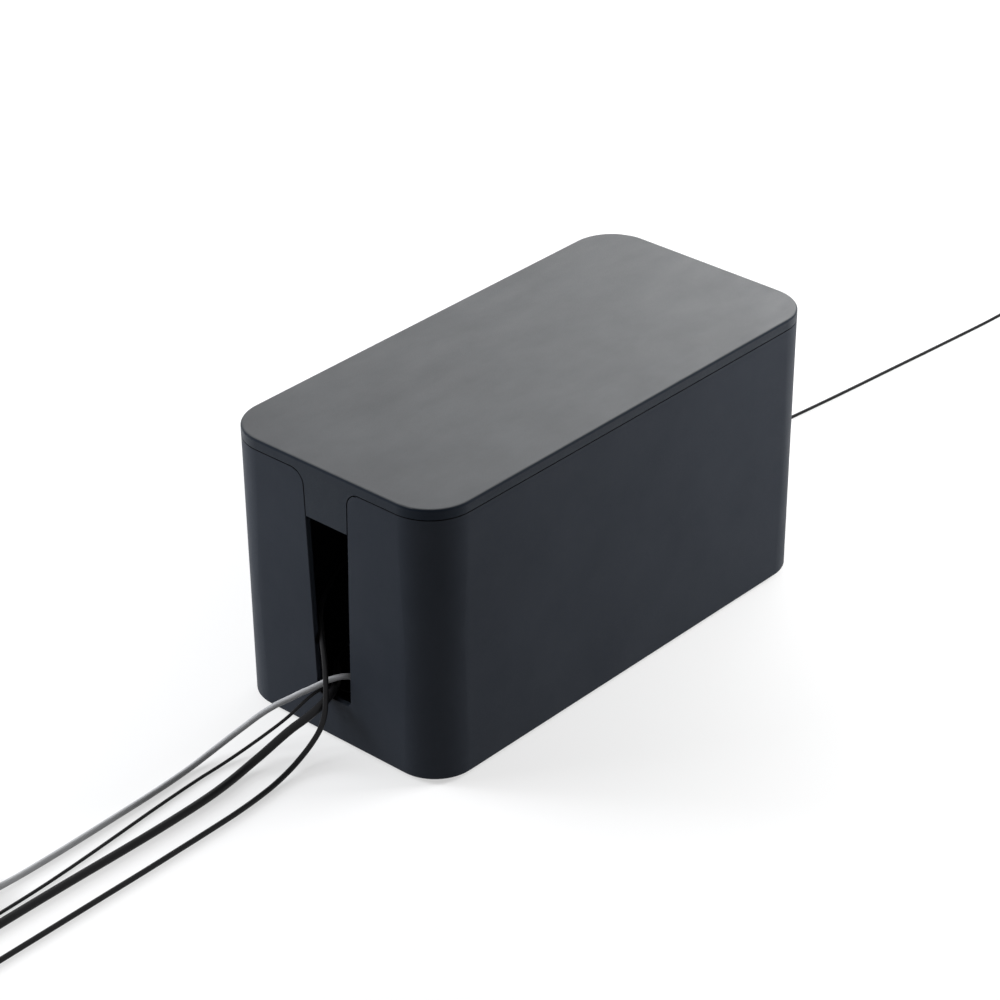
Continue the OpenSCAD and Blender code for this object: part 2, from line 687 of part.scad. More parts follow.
module strip_base() {
  seat_length = 2;
  seat_spacing = (bar_length - seat_length) / outlet_count;
  seat_width = blade_pitch + 2 * bar_width;
  color("#2b2c2f") {
    difference() {
      union() {
        difference() {
          translate([strip_x, strip_y, strip_bottom])
            linear_extrude(strip_base_height)
              rounded_outline(strip_length, strip_width, strip_corner_radius);
          translate([strip_x, strip_y, strip_floor])
            linear_extrude(strip_base_height)
              rounded_outline(strip_length - 2 * strip_wall, strip_width - 2 * strip_wall,
                strip_corner_radius - strip_wall);
        }
        post_places()
          translate([0, 0, strip_bottom])
            cylinder(h = strip_base_height, r = post_radius);
      }
      post_places() {
        translate([0, 0, strip_bottom - overrun])
          cylinder(h = screw_head_seat + overrun, r = screw_head_radius + fit_gap);
        translate([0, 0, strip_bottom])
          cylinder(h = strip_base_height + overrun, r = screw_radius + fit_gap);
      }
      gland_hole();
    }
    for (i = [0 : outlet_count])
      translate([outlets_x0 + i * seat_spacing, strip_y - seat_width / 2, strip_floor - strip_wall / 2])
        cube([seat_length, seat_width, bar_rise + strip_wall / 2]);
  }
}

module strip_cover() {
  cavity_height = strip_cover_height - strip_wall;
  color("#323337")
    difference() {
      union() {
        difference() {
          translate([strip_x, strip_y, strip_split])
            soft_block(strip_length, strip_width, strip_cover_height, strip_corner_radius, strip_edge_radius);
          translate([strip_x, strip_y, strip_split - overrun])
            linear_extrude(cavity_height + overrun)
              rounded_outline(strip_length - 2 * strip_wall, strip_width - 2 * strip_wall,
                strip_corner_radius - strip_wall);
        }
        post_places()
          translate([0, 0, strip_split])
            cylinder(h = cavity_height + strip_wall / 2, r = post_radius);
      }
      post_places()
        translate([0, 0, strip_split - overrun])
          cylinder(h = cavity_height + overrun, r = screw_radius + pin_gap);
      for (i = [0 : outlet_count - 1], s = [-1, 1])
        translate([outlet_x(i), strip_y + s * blade_pitch / 2, strip_top - strip_wall / 2])
          cube([blade_width + 2 * fit_gap, blade_thickness + 2 * fit_gap, 2 * strip_wall], center = true);
      translate([bay_x, rocker_y, strip_top])
        cube([sleeve_width + 2 * seat_gap, sleeve_length + 2 * seat_gap, 4 * strip_wall], center = true);
      translate([bay_x, reset_y, strip_top - 2 * strip_wall])
        cylinder(h = 4 * strip_wall, r = reset_diameter / 2 + fit_gap + reset_wall + seat_gap);
      translate([bay_x + lens_shift, reset_y, strip_top - 2 * strip_wall])
        cylinder(h = 4 * strip_wall, r = lens_diameter / 2 + seat_gap);
      gland_hole();
    }
}

module strip_pads() {
  pad_inset = post_inset + post_radius + strip_pad_diameter;
  color(pad_tint)
    for (x = [-1, 1], y = [-1, 1])
      translate([strip_x + x * (strip_length / 2 - pad_inset), strip_y + y * post_y, deck])
        cylinder(h = strip_pad_height, d = strip_pad_diameter);
}

module cover_screws() {
  color("#b8bbc0")
    post_places()
      translate([0, 0, strip_bottom + screw_head_seat - screw_head_height]) {
        difference() {
          cylinder(h = screw_head_height, r = screw_head_radius);
          translate([0, 0, -overrun])
            cylinder(h = screw_head_height / 2 + overrun, r = screw_radius, $fn = 6);
        }
        cylinder(h = screw_length, r = screw_radius);
      }
}

module contact_bar(side) {
  y = strip_y + side * blade_pitch / 2;
  leaf_y = (blade_thickness + leaf_thickness) / 2 + contact_gap;
  leaf_z = bar_top + (leaf_height - bar_thickness) / 2;
  color("#c8a24a") {
    translate([outlets_x0, y - bar_width / 2, bar_bottom])
      cube([bar_length, bar_width, bar_thickness]);
    for (i = [0 : outlet_count - 1], s = [-1, 1])
      translate([outlet_x(i), y + s * leaf_y, leaf_z])
        cube([leaf_length, leaf_thickness, leaf_height + bar_thickness], center = true);
  }
}

module live_bar() {
  contact_bar(1);
}

module neutral_bar() {
  contact_bar(-1);
}

// Switch: the rocker turns on two pins in the sleeve's side walls
module switch_body() {
  room = rocker_depth + overrun;
  color("#1e1f21")
    translate([bay_x, rocker_y, strip_top]) {
      difference() {
        union() {
          linear_extrude(flange_height)
            rounded_outline(sleeve_width + 2 * switch_flange, sleeve_length + 2 * switch_flange,
              switch_flange);
          translate([-sleeve_width / 2, -sleeve_length / 2, -switch_depth])
            cube([sleeve_width, sleeve_length, switch_depth]);
        }
        translate([-sleeve_width / 2 + switch_wall, -sleeve_length / 2 + switch_wall, -room])
          cube([rocker_width + 2 * fit_gap, rocker_length + 2 * fit_gap, room + flange_height + overrun]);
        rotate([0, 90, 0])
          cylinder(h = sleeve_width - switch_wall, r = rocker_pin_radius + pin_gap, center = true);
      }
      for (s = [-1, 1])
        translate([-terminal_width / 2, s * rocker_length / 4, -switch_depth - terminal_length])
          cube([terminal_width, terminal_thickness, terminal_length + terminal_thickness]);
    }
}

module switch_rocker() {
  rise = rocker_reach * tan(rocker_tilt);
  pin_length = rocker_width + 2 * fit_gap + switch_wall - 2 * seat_gap;
  color("#b3261e")
    translate([bay_x, rocker_y, strip_top])
      rotate([-rocker_tilt, 0, 0]) {
        rotate([90, 0, 90])
          linear_extrude(rocker_width, center = true)
            intersection() {
              circle(r = rocker_reach);
              polygon([
                [-rocker_reach, rocker_ridge + rise], [0, rocker_ridge], [rocker_reach, rocker_ridge + rise],
                [rocker_reach, rise - rocker_depth], [0, -rocker_depth], [-rocker_reach, rise - rocker_depth]
              ]);
            }
        rotate([0, 90, 0])
          cylinder(h = pin_length, r = rocker_pin_radius, center = true);
      }
}

module breaker_body() {
  bore = reset_diameter / 2 + fit_gap;
  color("#232427")
    translate([bay_x, reset_y, strip_top])
      difference() {
        union() {
          cylinder(h = flange_height, r = bore + reset_wall + reset_lip);
          translate([0, 0, -reset_depth])
            cylinder(h = reset_depth, r = bore + reset_wall);
        }
        translate([0, 0, reset_wall - reset_depth])
          cylinder(h = reset_depth + flange_height, r = bore);
      }
}

module reset_button() {
  bottom = reset_wall - reset_depth + reset_travel + fit_gap;
  dome = reset_diameter / 2;
  color("#d9d9d6")
    translate([bay_x, reset_y, strip_top + bottom]) {
      cylinder(h = reset_stand - bottom - reset_edge_radius, r = dome);
      translate([0, 0, reset_stand - bottom - reset_edge_radius])
        rotate_extrude()
          edge_outline(dome, reset_edge_radius);
    }
}

module pilot_lens() {
  color("#e0562a")
    translate([bay_x + lens_shift, reset_y, strip_top - lens_depth]) {
      cylinder(h = lens_depth, r = lens_diameter / 2);
      translate([0, 0, lens_depth])
        intersection() {
          sphere(r = lens_diameter / 2);
          cylinder(h = lens_diameter / 3, r = lens_diameter / 2);
        }
    }
}

// Tapered relief along +Z from a wall's outer face, with a lip inside the wall
module relief(root, neck, lip, flange, skin, length, tip) {
  difference() {
    rotate_extrude()
      polygon([
        [0, -skin - seat_gap - flange], [neck + lip, -skin - seat_gap - flange],
        [neck + lip, -skin - seat_gap], [neck, -skin - seat_gap], [neck, seat_gap],
        [root, seat_gap], [root, seat_gap + flange], [tip, length], [0, length]
      ]);
    for (z = [3 * flange : 2 * groove_width : length - 2 * flange])
      translate([0, 0, z])
        difference() {
          cylinder(h = groove_width, r = root + overrun);
          cylinder(h = groove_width, r = root + (tip - root) * z / length - groove_depth);
        }
  }
}

module supply_gland() {
  color("#202124")
    translate([strip_x0, gland_y, strip_split])
      rotate([0, -90, 0])
        relief(gland_root, gland_neck, gland_lip, gland_flange, strip_wall, gland_length,
          supply_diameter / 2 + gland_tip_wall);
}

// Adapters, each plugged into one outlet
module adapter_case(i) {
  size = adapter_sizes[i];
  color(i == 2 ? "#c9cacb" : "#26272a")
    difference() {
      translate([outlet_x(i), strip_y, adapter_bottom])
        soft_block(size[0], size[1], size[2], adapter_corner_radius, adapter_edge_radius);
      translate([outlet_x(i), strip_y, adapter_bottom - overrun])
        linear_extrude(size[2] - adapter_wall + overrun)
          rounded_outline(size[0] - 2 * adapter_wall, size[1] - 2 * adapter_wall,
            adapter_corner_radius - adapter_wall);
      translate(relief_base(i))
        rotate([90, 0, i == 0 ? 90 : 0])
          cylinder(h = 4 * adapter_wall, r = (lead_diameters[i] + relief_wall) / 2 + seat_gap, center = true);
    }
}

module adapter_base(i) {
  size = adapter_sizes[i];
  inset = adapter_wall + seat_gap;
  color("#1b1c1f")
    difference() {
      translate([outlet_x(i), strip_y, adapter_bottom])
        linear_extrude(adapter_base_height)
          rounded_outline(size[0] - 2 * inset, size[1] - 2 * inset, adapter_corner_radius - inset);
      for (s = [-1, 1])
        translate([outlet_x(i), strip_y + s * blade_pitch / 2, adapter_bottom + adapter_base_height / 2])
          cube([blade_width + 2 * seat_gap, blade_thickness + 2 * seat_gap, 2 * adapter_base_height],
            center = true);
    }
}

module adapter_blades(i) {
  color(metal_tint)
    for (s = [-1, 1])
      translate([outlet_x(i), strip_y + s * blade_pitch / 2, adapter_bottom]) {
        translate([-blade_width / 2, -blade_thickness / 2, -blade_length])
          cube([blade_width, blade_thickness, blade_length + adapter_base_height + blade_head]);
        translate([-blade_width / 2, -blade_thickness / 2 - blade_head, adapter_base_height + seat_gap])
          cube([blade_width, blade_thickness + 2 * blade_head, blade_head - seat_gap]);
      }
}

module adapter_relief(i) {
  lead = lead_diameters[i] / 2;
  color(i == 2 ? gray_tint : "#1f2023")
    translate(relief_base(i))
      rotate(i == 0 ? [0, -90, 0] : [90, 0, 0])
        relief(lead + relief_wall, lead + relief_wall / 2, relief_lip, relief_flange,
          adapter_wall, relief_length, lead + relief_tip_wall);
}

// Leads
module lead_run(run, diameter, tint) {
  color(tint)
    tube(run, diameter, run_sides);
}

module lead_coil(wound, diameter, tint) {
  echo("least gap between turns", least_gap(wound, diameter));
  color(tint)
    tube(wound, diameter, coil_sides);
}

// Tie: a flat band round the bundle, away from the coil's two ends. Its inner side
// stands clear of the smallest turn, which curves away under the band's width.
module lead_tie(run, length, diameter, turn, width) {
  reach = coil_spread(run, length, diameter, turn) + diameter / 2;
  middle = coil_middle(run, length, diameter, turn);
  radius = coil_radius(run, length, diameter, turn);
  eye = radius - reach;
  inner = eye * sqrt(1 - pow(width / 2 / eye, 2)) - tie_gap;
  stack = coil_layers * (diameter + coil_gap) - coil_gap;
  window = [radius + reach + tie_gap - inner, stack + 2 * tie_gap];
  color("#15161a")
    translate([middle[0], middle[1], 0])
      rotate([90, 0, heading(run) + turn[0] * (360 * turn[2] - 90)])
        translate([inner + window[0] / 2, tie_thickness + window[1] / 2, 0])
          linear_extrude(width, center = true)
            difference() {
              rounded_outline(window[0] + 2 * tie_thickness, window[1] + 2 * tie_thickness, tie_corner);
              square(window, center = true);
            }
}

module large_tie(run, length, diameter, turn) {
  lead_tie(run, length, diameter, turn, large_tie_width);
}

module small_tie(run, length, diameter, turn) {
  lead_tie(run, length, diameter, turn, small_tie_width);
}

module at_end(wound, back) {
  last = wound[len(wound) - 1];
  way = last - wound[len(wound) - 2];
  translate([last[0], last[1], last[2]])
    rotate([0, 0, atan2(way[1], way[0])])
      translate([back, 0, 0])
        children();
}

module supply_plug() {
  color("#17181b")
    at_end(supply_wound, 0) {
      rotate([0, 90, 0])
        cylinder(h = plug_neck_length + overrun, r1 = supply_diameter / 2 + gland_tip_wall,
          r2 = supply_diameter / 2 + gland_tip_wall + plug_neck_wall);
      translate([plug_neck_length + supply_plug_length / 2, 0, -supply_plug_thickness / 2])
        soft_block(supply_plug_length, supply_plug_width, supply_plug_thickness, plug_corner_radius,
          plug_edge_radius);
    }
}

module supply_plug_blades() {
  color(metal_tint)
    at_end(supply_wound, plug_neck_length + supply_plug_length)
      for (s = [-1, 1])
        translate([0, s * blade_pitch / 2 - blade_thickness / 2, -blade_width / 2])
          cube([blade_length, blade_thickness, blade_width]);
}

// Barrel plug: a round grip that lies on the surface, and its metal sleeve
module barrel_grip(wound, diameter, grip, tint) {
  tip = diameter / 2 + plug_wall;
  color(tint)
    at_end(wound, 0)
      rotate([0, 90, 0])
        rotate_extrude()
          polygon([
            [0, 0], [tip, 0], [tip + (grip / 2 - tip) / 4, plug_taper], [grip / 2, plug_taper],
            [grip / 2, plug_taper + plug_grip_length - plug_wall],
            [grip / 2 - plug_wall, plug_taper + plug_grip_length], [0, plug_taper + plug_grip_length]
          ]);
}

module barrel_sleeve(wound, diameter, bore) {
  color(metal_tint)
    at_end(wound, plug_taper + plug_grip_length)
      rotate([0, 90, 0])
        difference() {
          cylinder(h = plug_barrel_length, d = diameter);
          translate([0, 0, barrel_web])
            cylinder(h = plug_barrel_length, d = bore);
        }
}

module large_barrel(wound) {
  barrel_sleeve(wound, large_barrel_diameter, large_barrel_bore);
}

module small_barrel(wound) {
  barrel_sleeve(wound, small_barrel_diameter, small_barrel_bore);
}

box_body();
lid();
foot(-1, 1);  // foot_front_left
foot(-1, -1);  // foot_front_right
foot(1, 1);  // foot_rear_left
foot(1, -1);  // foot_rear_right
strip_base();
strip_cover();
strip_pads();
cover_screws();
live_bar();
neutral_bar();
switch_body();
switch_rocker();
breaker_body();
reset_button();
pilot_lens();
supply_gland();
adapter_case(0);  // loop_adapter_case
adapter_base(0);  // loop_adapter_base
adapter_blades(0);  // loop_adapter_blades
adapter_relief(0);  // loop_adapter_relief
adapter_case(1);  // thin_adapter_case
adapter_base(1);  // thin_adapter_base
adapter_blades(1);  // thin_adapter_blades
adapter_relief(1);  // thin_adapter_relief
adapter_case(2);  // gray_adapter_case
adapter_base(2);  // gray_adapter_base
adapter_blades(2);  // gray_adapter_blades
adapter_relief(2);  // gray_adapter_relief
adapter_case(3);  // rear_adapter_case
adapter_base(3);  // rear_adapter_base
adapter_blades(3);  // rear_adapter_blades
adapter_relief(3);  // rear_adapter_relief
lead_run(supply_path, supply_diameter, black_tint);  // supply_run
lead_coil(supply_wound, supply_diameter, black_tint);  // supply_coil
large_tie(supply_path, supply_length, supply_diameter, supply_turn);  // supply_tie
supply_plug();
supply_plug_blades();
lead_run(gray_path, gray_diameter, gray_tint);  // gray_run
lead_coil(gray_wound, gray_diameter, gray_tint);  // gray_coil
large_tie(gray_path, gray_length, gray_diameter, gray_turn);  // gray_tie
barrel_grip(gray_wound, gray_diameter, large_grip_diameter, gray_tint);  // gray_plug
large_barrel(gray_wound);  // gray_plug_barrel
lead_run(loop_path, loop_diameter, black_tint);  // loop_run
lead_coil(loop_wound, loop_diameter, black_tint);  // loop_coil
large_tie(loop_path, loop_length, loop_diameter, loop_turn);  // loop_tie
barrel_grip(loop_wound, loop_diameter, large_grip_diameter, black_tint);  // loop_plug
large_barrel(loop_wound);  // loop_plug_barrel
lead_run(thin_path, thin_diameter, black_tint);  // thin_run
lead_coil(thin_wound, thin_diameter, black_tint);  // thin_coil
small_tie(thin_path, thin_length, thin_diameter, thin_turn);  // thin_tie
barrel_grip(thin_wound, thin_diameter, small_grip_diameter, black_tint);  // thin_plug
small_barrel(thin_wound);  // thin_plug_barrel
lead_run(rear_path, rear_diameter, black_tint);  // rear_run
lead_coil(rear_wound, rear_diameter, black_tint);  // rear_coil
small_tie(rear_path, rear_length, rear_diameter, rear_turn);  // rear_tie
barrel_grip(rear_wound, rear_diameter, small_grip_diameter, black_tint);  // rear_plug
small_barrel(rear_wound);  // rear_plug_barrel
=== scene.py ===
from math import atan2, ceil, cos, floor, pi, radians, sin, sqrt, tan

import bmesh
import bpy
from mathutils import Matrix, Vector


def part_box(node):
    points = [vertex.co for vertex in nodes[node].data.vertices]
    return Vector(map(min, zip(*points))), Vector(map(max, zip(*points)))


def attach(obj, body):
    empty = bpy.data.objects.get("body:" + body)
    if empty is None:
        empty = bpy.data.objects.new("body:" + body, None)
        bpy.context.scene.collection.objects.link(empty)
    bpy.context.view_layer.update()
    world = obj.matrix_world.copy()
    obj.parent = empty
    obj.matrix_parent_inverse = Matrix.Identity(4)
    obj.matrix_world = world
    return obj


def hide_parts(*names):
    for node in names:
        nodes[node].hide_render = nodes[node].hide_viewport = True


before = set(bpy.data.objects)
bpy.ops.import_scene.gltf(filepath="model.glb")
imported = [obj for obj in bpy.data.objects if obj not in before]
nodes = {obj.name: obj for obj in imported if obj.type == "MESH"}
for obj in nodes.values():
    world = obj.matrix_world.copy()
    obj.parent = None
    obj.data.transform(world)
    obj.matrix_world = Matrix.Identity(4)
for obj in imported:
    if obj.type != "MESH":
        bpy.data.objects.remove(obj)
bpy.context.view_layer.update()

MM = 0.001  # leads, ties, plugs, marks and edges have their sizes in millimetres

# Camera, fitted to the photograph
CAMERA_LENS = 123.318
CAMERA_SENSOR = 36
CAMERA_PLACE = Matrix((
    (0.66702263, 0.38176276, -0.63979529, -0.91839465),
    (-0.74500718, 0.33403072, -0.57739742, -0.81338031),
    (-0.00671756, 0.86178923, 0.50722205, 0.78336530),
    (0, 0, 0, 1),
))


def link(piece):
    bpy.context.scene.collection.objects.link(piece)


def make_camera():
    data = bpy.data.cameras.new("view")
    data.lens = CAMERA_LENS
    data.sensor_width = CAMERA_SENSOR
    camera = bpy.data.objects.new("view", data)
    camera.matrix_world = CAMERA_PLACE
    link(camera)
    bpy.context.scene.camera = camera


make_camera()

# Leads, with the routes of the part's source in millimetres
SUPPLY_ROUTE = [
    (-91.3, 22, 19.5), (-95.1, 20.4, 20.2), (-98.5, 17.6, 21.1), (-101.6, 14, 22),
    (-104.9, 10, 22.8), (-108.7, 6.2, 23.3), (-113, 3.1, 23.5), (-117.2, 1.3, 23),
    (-121.4, 0.8, 21.6), (-125.7, 1.6, 19.2), (-130, 3.8, 16), (-134.6, 6.8, 12.4),
    (-139.8, 9.3, 8.5), (-146.2, 11, 5), (-154, 11.7, 2.6), (-163, 10.9, 1.75),
    (-173, 9.6, 1.75), (-184, 8.8, 1.75), (-198, 8.4, 1.75), (-213, 8.3, 1.75),
    (-230, 8.5, 1.75), (-248, 8.8, 1.75), (-268, 9, 1.75), (-288, 9, 1.75), (-308, 9, 1.8),
    (-328, 9, 2.2), (-346, 9, 2.7), (-360, 9, 2.85), (-364, 9, 2.85),
]
GRAY_ROUTE = [
    (56, -3.4, 58.5), (55.6, -6.7, 56.2), (54.8, -8.2, 51.6), (53.6, -7.8, 45.4),
    (51.8, -6.2, 37), (49.4, -4.2, 28), (45.6, -2.4, 19), (39.6, -0.9, 11.6),
    (31, -0.2, 7.2), (20, 0, 5.7), (5, 0, 5.5), (-25, -0.3, 5.5), (-55, -1.6, 5.5),
    (-72, -2.8, 6.6), (-86, -3.8, 11.4), (-96, -3.8, 18.2), (-103, -2.4, 23.8),
    (-109, 0.4, 27.5), (-114, 3.8, 27.2), (-118, 6.2, 25.8), (-121.5, 8.6, 24.2),
    (-124.5, 11.1, 22.6), (-128, 14.3, 20.2), (-132, 17.9, 17.6), (-137, 21.5, 14.2),
    (-143, 24.5, 10.4), (-150, 27.2, 6.6), (-158, 29.1, 3.4), (-168, 29.4, 1.6),
    (-180, 28.6, 1.3), (-195, 27.8, 1.3), (-212, 27.3, 1.3), (-230, 26.8, 1.3),
    (-248, 26.5, 1.3), (-264, 26.5, 1.4), (-276, 26.5, 2), (-284, 26.5, 2.4),
    (-287, 26.5, 2.4),
]
LOOP_ROUTE = [
    (-49, 30, 58.9), (-58, 29.9, 59.2), (-68, 29.4, 59), (-78, 28, 58.2), (-87, 25.8, 57),
    (-95, 23, 55.1), (-102, 19.6, 52.7), (-108, 15.2, 49.7), (-112.2, 10.6, 46.8),
    (-115.6, 6.8, 43.9), (-118.5, 3.2, 40.2), (-120.9, 0.4, 35.5), (-122.9, -1.6, 29.8),
    (-124.4, -2.7, 24), (-125.8, -2.9, 18), (-128, -2.4, 12.6), (-131.9, -1.7, 8),
    (-137.8, -1.7, 4.6), (-145.5, -2.5, 2.4), (-155, -3.8, 1.3), (-166, -5.2, 1.15),
    (-179, -6.2, 1.15), (-194, -6.6, 1.15), (-210, -6.8, 1.15), (-228, -7, 1.15),
    (-247, -7, 1.15), (-267, -7, 1.15), (-287, -7, 1.15), (-307, -7, 1.2), (-323, -7, 1.6),
    (-335, -7, 2.2), (-338, -7, 2.2),
]
THIN_ROUTE = [
    (20, 3.8, 52.6), (19.8, 1.4, 51), (19.2, 0.6, 47.6), (18, 1, 40), (15.8, 2.4, 30),
    (12, 4.2, 20), (7, 5.2, 12), (0, 5.6, 7), (-10, 5.6, 5.1), (-24, 5.6, 4.85),
    (-47, 5.6, 4.8), (-70, 5.8, 4.9), (-82, 6.6, 5.5), (-92, 8.2, 7.2), (-99.5, 9.4, 10.8),
    (-105.5, 9.5, 15.4), (-110.5, 8.6, 19.6), (-116, 7.3, 22.1), (-119.2, 7.8, 21.8),
    (-122.2, 9, 20.2), (-125.4, 10.4, 17.7), (-129, 12.1, 14.6), (-133, 14.5, 11.1),
    (-138, 17.3, 7.5), (-144, 19.7, 4.4), (-151, 21.3, 2.2), (-160, 22.1, 0.9),
    (-172, 22, 0.7), (-186, 21.2, 0.7), (-202, 20, 0.7), (-220, 18.4, 0.7),
    (-238, 16.9, 0.7), (-256, 15.7, 0.7), (-274, 15.1, 0.7), (-292, 15, 0.7),
    (-306, 15, 1), (-317, 15, 1.8), (-319, 15, 1.8),
]
REAR_ROUTE = [
    (92.2, 3.6, 52.5), (93, 1.2, 50.6), (95, -0.5, 47), (98, -1.4, 42), (101.8, -1.4, 36.2),
    (106.2, -0.8, 30.4), (111, 0.3, 25.2), (116.8, 1.9, 21.8), (122, 4.4, 18.6),
    (127, 7.6, 14.4), (132.6, 11.4, 9.8), (139, 15.7, 5.6), (147, 20.4, 2.3),
    (157, 24.7, 0.9), (169, 27.7, 0.75), (183, 28.5, 0.75), (200, 27.4, 0.75),
    (218, 25.4, 0.75), (238, 23.2, 0.75), (260, 21, 0.75), (284, 18.8, 0.75),
    (308, 16.5, 0.75), (332, 14.3, 0.75), (356, 12.1, 0.9), (376, 10.2, 1.7),
    (380, 9.8, 1.85),
]

# The lead leaves the node exit in the direction way. It is wound to the left of the route's end
# where side is 1, and to the right where it is -1. The coil ends end_part of a turn after a full
# turn, and its tie sits tie_part of a turn from its start. The plug's axis is plug_height up.
LEADS = {
    "supply": {
        "diameter": 3.5, "length": 1500, "exit": "supply_gland", "way": (-1, 0, 0),
        "route": SUPPLY_ROUTE, "side": -1, "end_part": 0.25, "tie_part": 0.5,
        "plug_height": 6.8, "tie_width": 6,
    },
    "gray": {
        "diameter": 2.6, "length": 1000, "exit": "gray_adapter_relief", "way": (0, -1, 0),
        "route": GRAY_ROUTE, "side": -1, "end_part": 0.25, "tie_part": 0.5,
        "plug_height": 5.3, "tie_width": 6,
    },
    "loop": {
        "diameter": 2.3, "length": 1000, "exit": "loop_adapter_relief", "way": (-1, 0, 0),
        "route": LOOP_ROUTE, "side": 1, "end_part": 0, "tie_part": 0.5,
        "plug_height": 5.3, "tie_width": 6,
    },
    "thin": {
        "diameter": 1.4, "length": 1000, "exit": "thin_adapter_relief", "way": (0, -1, 0),
        "route": THIN_ROUTE, "side": -1, "end_part": 0.25, "tie_part": 0.5,
        "plug_height": 3.8, "tie_width": 2,
    },
    "rear": {
        "diameter": 1.5, "length": 1000, "exit": "rear_adapter_relief", "way": (0, -1, 0),
        "route": REAR_ROUTE, "side": -1, "end_part": 0.25, "tie_part": 0.5,
        "plug_height": 3.8, "tie_width": 2,
    },
}

# Curves of the leads
MEASURE_SAMPLES = 2  # between two points of a route, to measure it
DRAW_SAMPLES = 8  # between two points of a route, to draw it
TUBE_RESOLUTION = 4
COIL_GAP = 0.5  # between turns, in millimetres
COIL_SIZE = 11.2  # diameter of a coil, in lead diameters
COIL_LAYERS = 4
TURN_POINTS = 40
TAIL = 3  # straight part behind the coil, in lead diameters
DESCENT = 7.5  # part that sinks to the plug's height, in lead diameters
DESCENT_STEPS = 16
STRAIGHT_ENDS = 2  # before the coil and before the plug, together in lead diameters


def curve_at(a, b, c, d, t):
    """Point at t from b to c on the smooth curve through a, b, c and d."""
    slope = (c - a) * t
    bend = (2 * a - 5 * b + 4 * c - d) * t * t
    return b + (slope + bend + (3 * b - 3 * c + d - a) * t ** 3) / 2


def smooth(points, samples):
    last = len(points) - 1
    found = []
    for i in range(last):
        a, b = points[max(i - 1, 0)], points[i]
        c, d = points[i + 1], points[min(i + 2, last)]
        found += [curve_at(a, b, c, d, s / samples) for s in range(samples)]
    return found + [points[last]]


def path_length(points):
    return sum((b - a).length for a, b in zip(points, points[1:]))


def along(angle):
    return Vector((cos(angle), sin(angle), 0))


def upward(height):
    return Vector((0, 0, height))


def ease(x):
    c = min(max(x, 0), 1)
    return c * c * (3 - 2 * c)


def mouth_of(lead):
    """Middle of the face, on the low side of its exit node, that the lead comes out of."""
    low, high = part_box(lead["exit"])
    mouth = (low + high) / 2
    for axis in range(3):
        if lead["way"][axis]:
            mouth[axis] = low[axis]
    return mouth / MM


def coil_points(turns, radius, spread, pitch, middle, first, side):
    """Turns in layers, each layer going inwards or outwards, with a climb between two layers."""
    count = ceil(turns * TURN_POINTS)
    points = []
    for i in range(count + 1):
        t = turns * i / count
        layer = COIL_LAYERS * i / count
        climb = sum(
            ease(2 * (t - j * turns / COIL_LAYERS) + 0.5) for j in range(1, COIL_LAYERS)
        )
        reach = radius - spread + 2 * spread * abs(layer % 2 - 1)
        points.append(middle + reach * along(first + side * 2 * pi * t) + upward(pitch * climb))
    return points


def tail_points(start, out, drop):
    """Straight tail that sinks by drop. The vector out is one lead diameter long."""
    points = []
    for k in range(DESCENT_STEPS + 1):
        part = k / DESCENT_STEPS
        points.append(start + (TAIL + DESCENT * part) * out - upward(drop * ease(part)))
    return points


def plan_lead(name):
    """Points of a lead in millimetres, and what its tie and plug need."""
    lead = LEADS[name]
    diameter, length, side = lead["diameter"], lead["length"], lead["side"]
    mouth = mouth_of(lead)
    root = mouth + Vector(lead["way"]) * diameter
    corners = [mouth, root] + [Vector(p) for p in lead["route"]]
    coarse = smooth(corners, MEASURE_SAMPLES)
    wound_length = length - path_length(coarse) - (STRAIGHT_ENDS + TAIL + DESCENT) * diameter
    end_part = lead["end_part"]
    turns = floor(wound_length / (pi * COIL_SIZE * diameter) - end_part + 0.5) + end_part
    radius = wound_length / (2 * pi * turns)
    last_step = coarse[-1] - coarse[-2]
    heading = atan2(last_step.y, last_step.x)
    pitch = diameter + COIL_GAP
    spread = pitch * turns / (2 * COIL_LAYERS)
    inward = along(heading + side * pi / 2)
    middle = coarse[-1] + diameter * along(heading) + (radius + spread) * inward
    first = heading - side * pi / 2
    wound = coil_points(turns, radius, spread, pitch, middle, first, side)
    way_out = along(first + side * 2 * pi * turns + side * pi / 2)
    out = diameter * way_out
    tail = tail_points(wound[-1], out, wound[-1].z - lead["plug_height"])
    end = tail[-1] + out
    return {
        "points": smooth(corners, DRAW_SAMPLES) + wound + tail + [end],
        "mouth": mouth, "diameter": diameter, "length": length, "end": end, "way": way_out,
        "middle": middle, "radius": radius, "reach": spread + diameter / 2,
        "stack": COIL_LAYERS * pitch - COIL_GAP,
        "tie_angle": heading + side * (2 * pi * lead["tie_part"] - pi / 2),
        "tie_width": lead["tie_width"],
    }


def lead_curve(name, plan):
    data = bpy.data.curves.new(name, "CURVE")
    data.dimensions = "3D"
    data.bevel_depth = plan["diameter"] / 2 * MM
    data.bevel_resolution = TUBE_RESOLUTION
    data.use_fill_caps = True
    spline = data.splines.new("POLY")
    spline.points.add(len(plan["points"]) - 1)
    for point, place in zip(spline.points, plan["points"]):
        point.co = (*(place * MM), 1)
    spline.use_smooth = True
    piece = bpy.data.objects.new(name, data)
    link(piece)
    return piece


def new_piece(name, mesh, slot, body, shade_smooth=True):
    """Object made from a bmesh in metres, with its slot's material, riding on a body."""
    data = bpy.data.meshes.new(name)
    bmesh.ops.recalc_face_normals(mesh, faces=mesh.faces)
    mesh.to_mesh(data)
    mesh.free()
    if shade_smooth:
        data.shade_smooth()
    piece = bpy.data.objects.new(name, data)
    link(piece)
    data.materials.append(bpy.data.materials[slot])
    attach(piece, body)
    return piece


